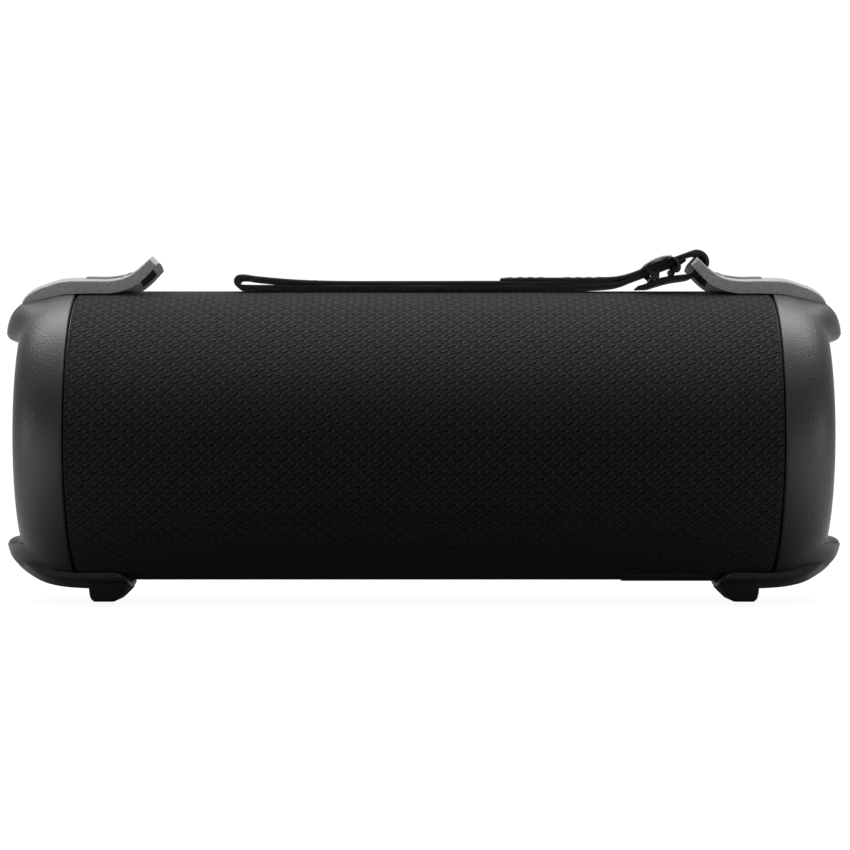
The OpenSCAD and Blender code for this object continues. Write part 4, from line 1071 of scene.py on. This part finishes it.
def finish_cad_nodes():
    """Puts a material on each node that still shows, by its own name or by how its name starts."""
    finish = {"grille_tube": DARK_PLASTIC, "enclosure_gasket": SOFT_RUBBER, "end_seal": SOFT_RUBBER,
              "enclosure_screws": STEEL, "enclosure": DARK_PLASTIC, "battery_cells": CELL_WRAP,
              "battery_cradle": DARK_PLASTIC, "main_board": BOARD, "board_parts": CHIPS, "wiring": WIRE,
              "port_board": BOARD, "key_board": BOARD, "aux_socket": DARK_PLASTIC,
              "port_bezel": SOFT_RUBBER, "driver_magnet": MAGNET, "driver_surround": SURROUND_RUBBER,
              "driver_cone": CONE, "voice_coil": COPPER, "driver_spider": SPIDER}
    for name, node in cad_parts.items():
        if node.hide_render:
            continue
        chosen = next((material for start, material in finish.items() if name.startswith(start)), STEEL)
        node.data.materials.clear()
        node.data.materials.append(chosen)


# ---- stage ---------------------------------------------------------------------------------------

def make_stage():
    """A pale glowing floor that lights the piece only from beyond its two ends, a white surround for
    the camera, and one that is bright behind, above and beside for the reflections."""
    floor = bpy.data.meshes.new("floor")
    corners = np.array([(-1, -1, 0), (1, -1, 0), (1, 1, 0), (-1, 1, 0)])
    floor.from_pydata((6.0 * corners).tolist(), [], [(0, 1, 2, 3)])
    table = bpy.data.materials.new("pale table")
    table.use_nodes = True
    tree = table.node_tree
    shader = tree.nodes["Principled BSDF"].inputs
    shader["Base Color"].default_value = (0.12, 0.12, 0.12, 1)
    shader["Roughness"].default_value = 0.9
    shader["Specular IOR Level"].default_value = 0.0
    shader["Emission Color"].default_value = (1, 1, 1, 1)
    rays = tree.nodes.new("ShaderNodeLightPath")
    place = tree.nodes.new("ShaderNodeSeparateXYZ")
    tree.links.new(tree.nodes.new("ShaderNodeTexCoord").outputs["Object"], place.inputs[0])
    beyond = fade(tree, calc(tree, "ABSOLUTE", place.outputs["X"]), 0.095, 0.15, 0.03, 1.0)
    tree.links.new(calc(tree, "MAXIMUM", times(tree, rays.outputs["Is Camera Ray"], 0.95), beyond),
                   shader["Emission Strength"])
    floor.materials.append(table)
    ground = bpy.data.objects.new("floor", floor)
    bpy.context.scene.collection.objects.link(ground)

    world = bpy.data.worlds.new("studio")
    bpy.context.scene.world = world
    world.use_nodes = True
    tree = world.node_tree
    tree.nodes.clear()
    out = tree.nodes.new("ShaderNodeOutputWorld")
    seen, lit, pick = (tree.nodes.new(n) for n in ("ShaderNodeBackground", "ShaderNodeBackground",
                                                   "ShaderNodeMixShader"))
    seen.inputs["Color"].default_value = (1, 1, 1, 1)
    seen.inputs["Strength"].default_value = 1.05
    split = tree.nodes.new("ShaderNodeSeparateXYZ")
    tree.links.new(tree.nodes.new("ShaderNodeTexCoord").outputs["Generated"], split.inputs[0])
    back = fade(tree, split.outputs["Y"], 0.0, 0.8, 0.03, 1.0)
    top = fade(tree, split.outputs["Z"], 0.55, 1.0, 0.0, 0.9)
    sides = fade(tree, calc(tree, "ABSOLUTE", split.outputs["X"]), 0.72, 1.0, 0.0, 0.35)
    tree.links.new(plus(tree, back, top, sides), lit.inputs["Strength"])
    tree.links.new(tree.nodes.new("ShaderNodeLightPath").outputs["Is Camera Ray"], pick.inputs[0])
    tree.links.new(lit.outputs[0], pick.inputs[1])
    tree.links.new(seen.outputs[0], pick.inputs[2])
    tree.links.new(pick.outputs[0], out.inputs[0])


def add_light(name, place, aim, size, power):
    """A soft rectangular light at place, turned towards aim, in metres."""
    light = bpy.data.lights.new(name, "AREA")
    light.shape = "RECTANGLE"
    light.size, light.size_y = size
    light.energy = power
    lamp = bpy.data.objects.new(name, light)
    lamp.location = place
    way = np.array(aim, float) - np.array(place, float)
    lamp.rotation_euler = (math.atan2(math.hypot(way[0], way[1]), -way[2]), 0, math.atan2(-way[0], way[1]))
    bpy.context.scene.collection.objects.link(lamp)


def make_lights():
    """A wide light overhead and a small low one off each end."""
    add_light("overhead softbox", (0, 0.12, 0.85), (0, 0, 0.05), (1.3, 0.4), 11.5)
    for side, name in ends():
        add_light(f"{name} strip", (side * 0.75, -0.4, 0.08), (side * 0.08, 0, 0.03), (0.2, 0.15), 0.6)


def make_camera():
    """Square on to the long side, level, a little under the barrel's axis."""
    data = bpy.data.cameras.new("camera")
    data.sensor_width = 36
    data.lens = 116
    data.shift_y = 0.043
    camera = bpy.data.objects.new("camera", data)
    camera.location = (0.00027, -0.736, 0.0371)
    camera.rotation_euler = (math.radians(90), 0, 0)
    bpy.context.scene.collection.objects.link(camera)
    bpy.context.scene.camera = camera
    bpy.context.scene.view_settings.view_transform = "Standard"
    bpy.context.scene.view_settings.look = "None"


for make in (make_camera, make_stage, make_lights, make_sleeve, make_caps, make_top_brackets, make_pads,
             make_bottom_brackets, make_feet, make_radiators, make_strap, make_slider, make_port_cover,
             make_key_panel, make_keys, finish_cad_nodes):
    make()
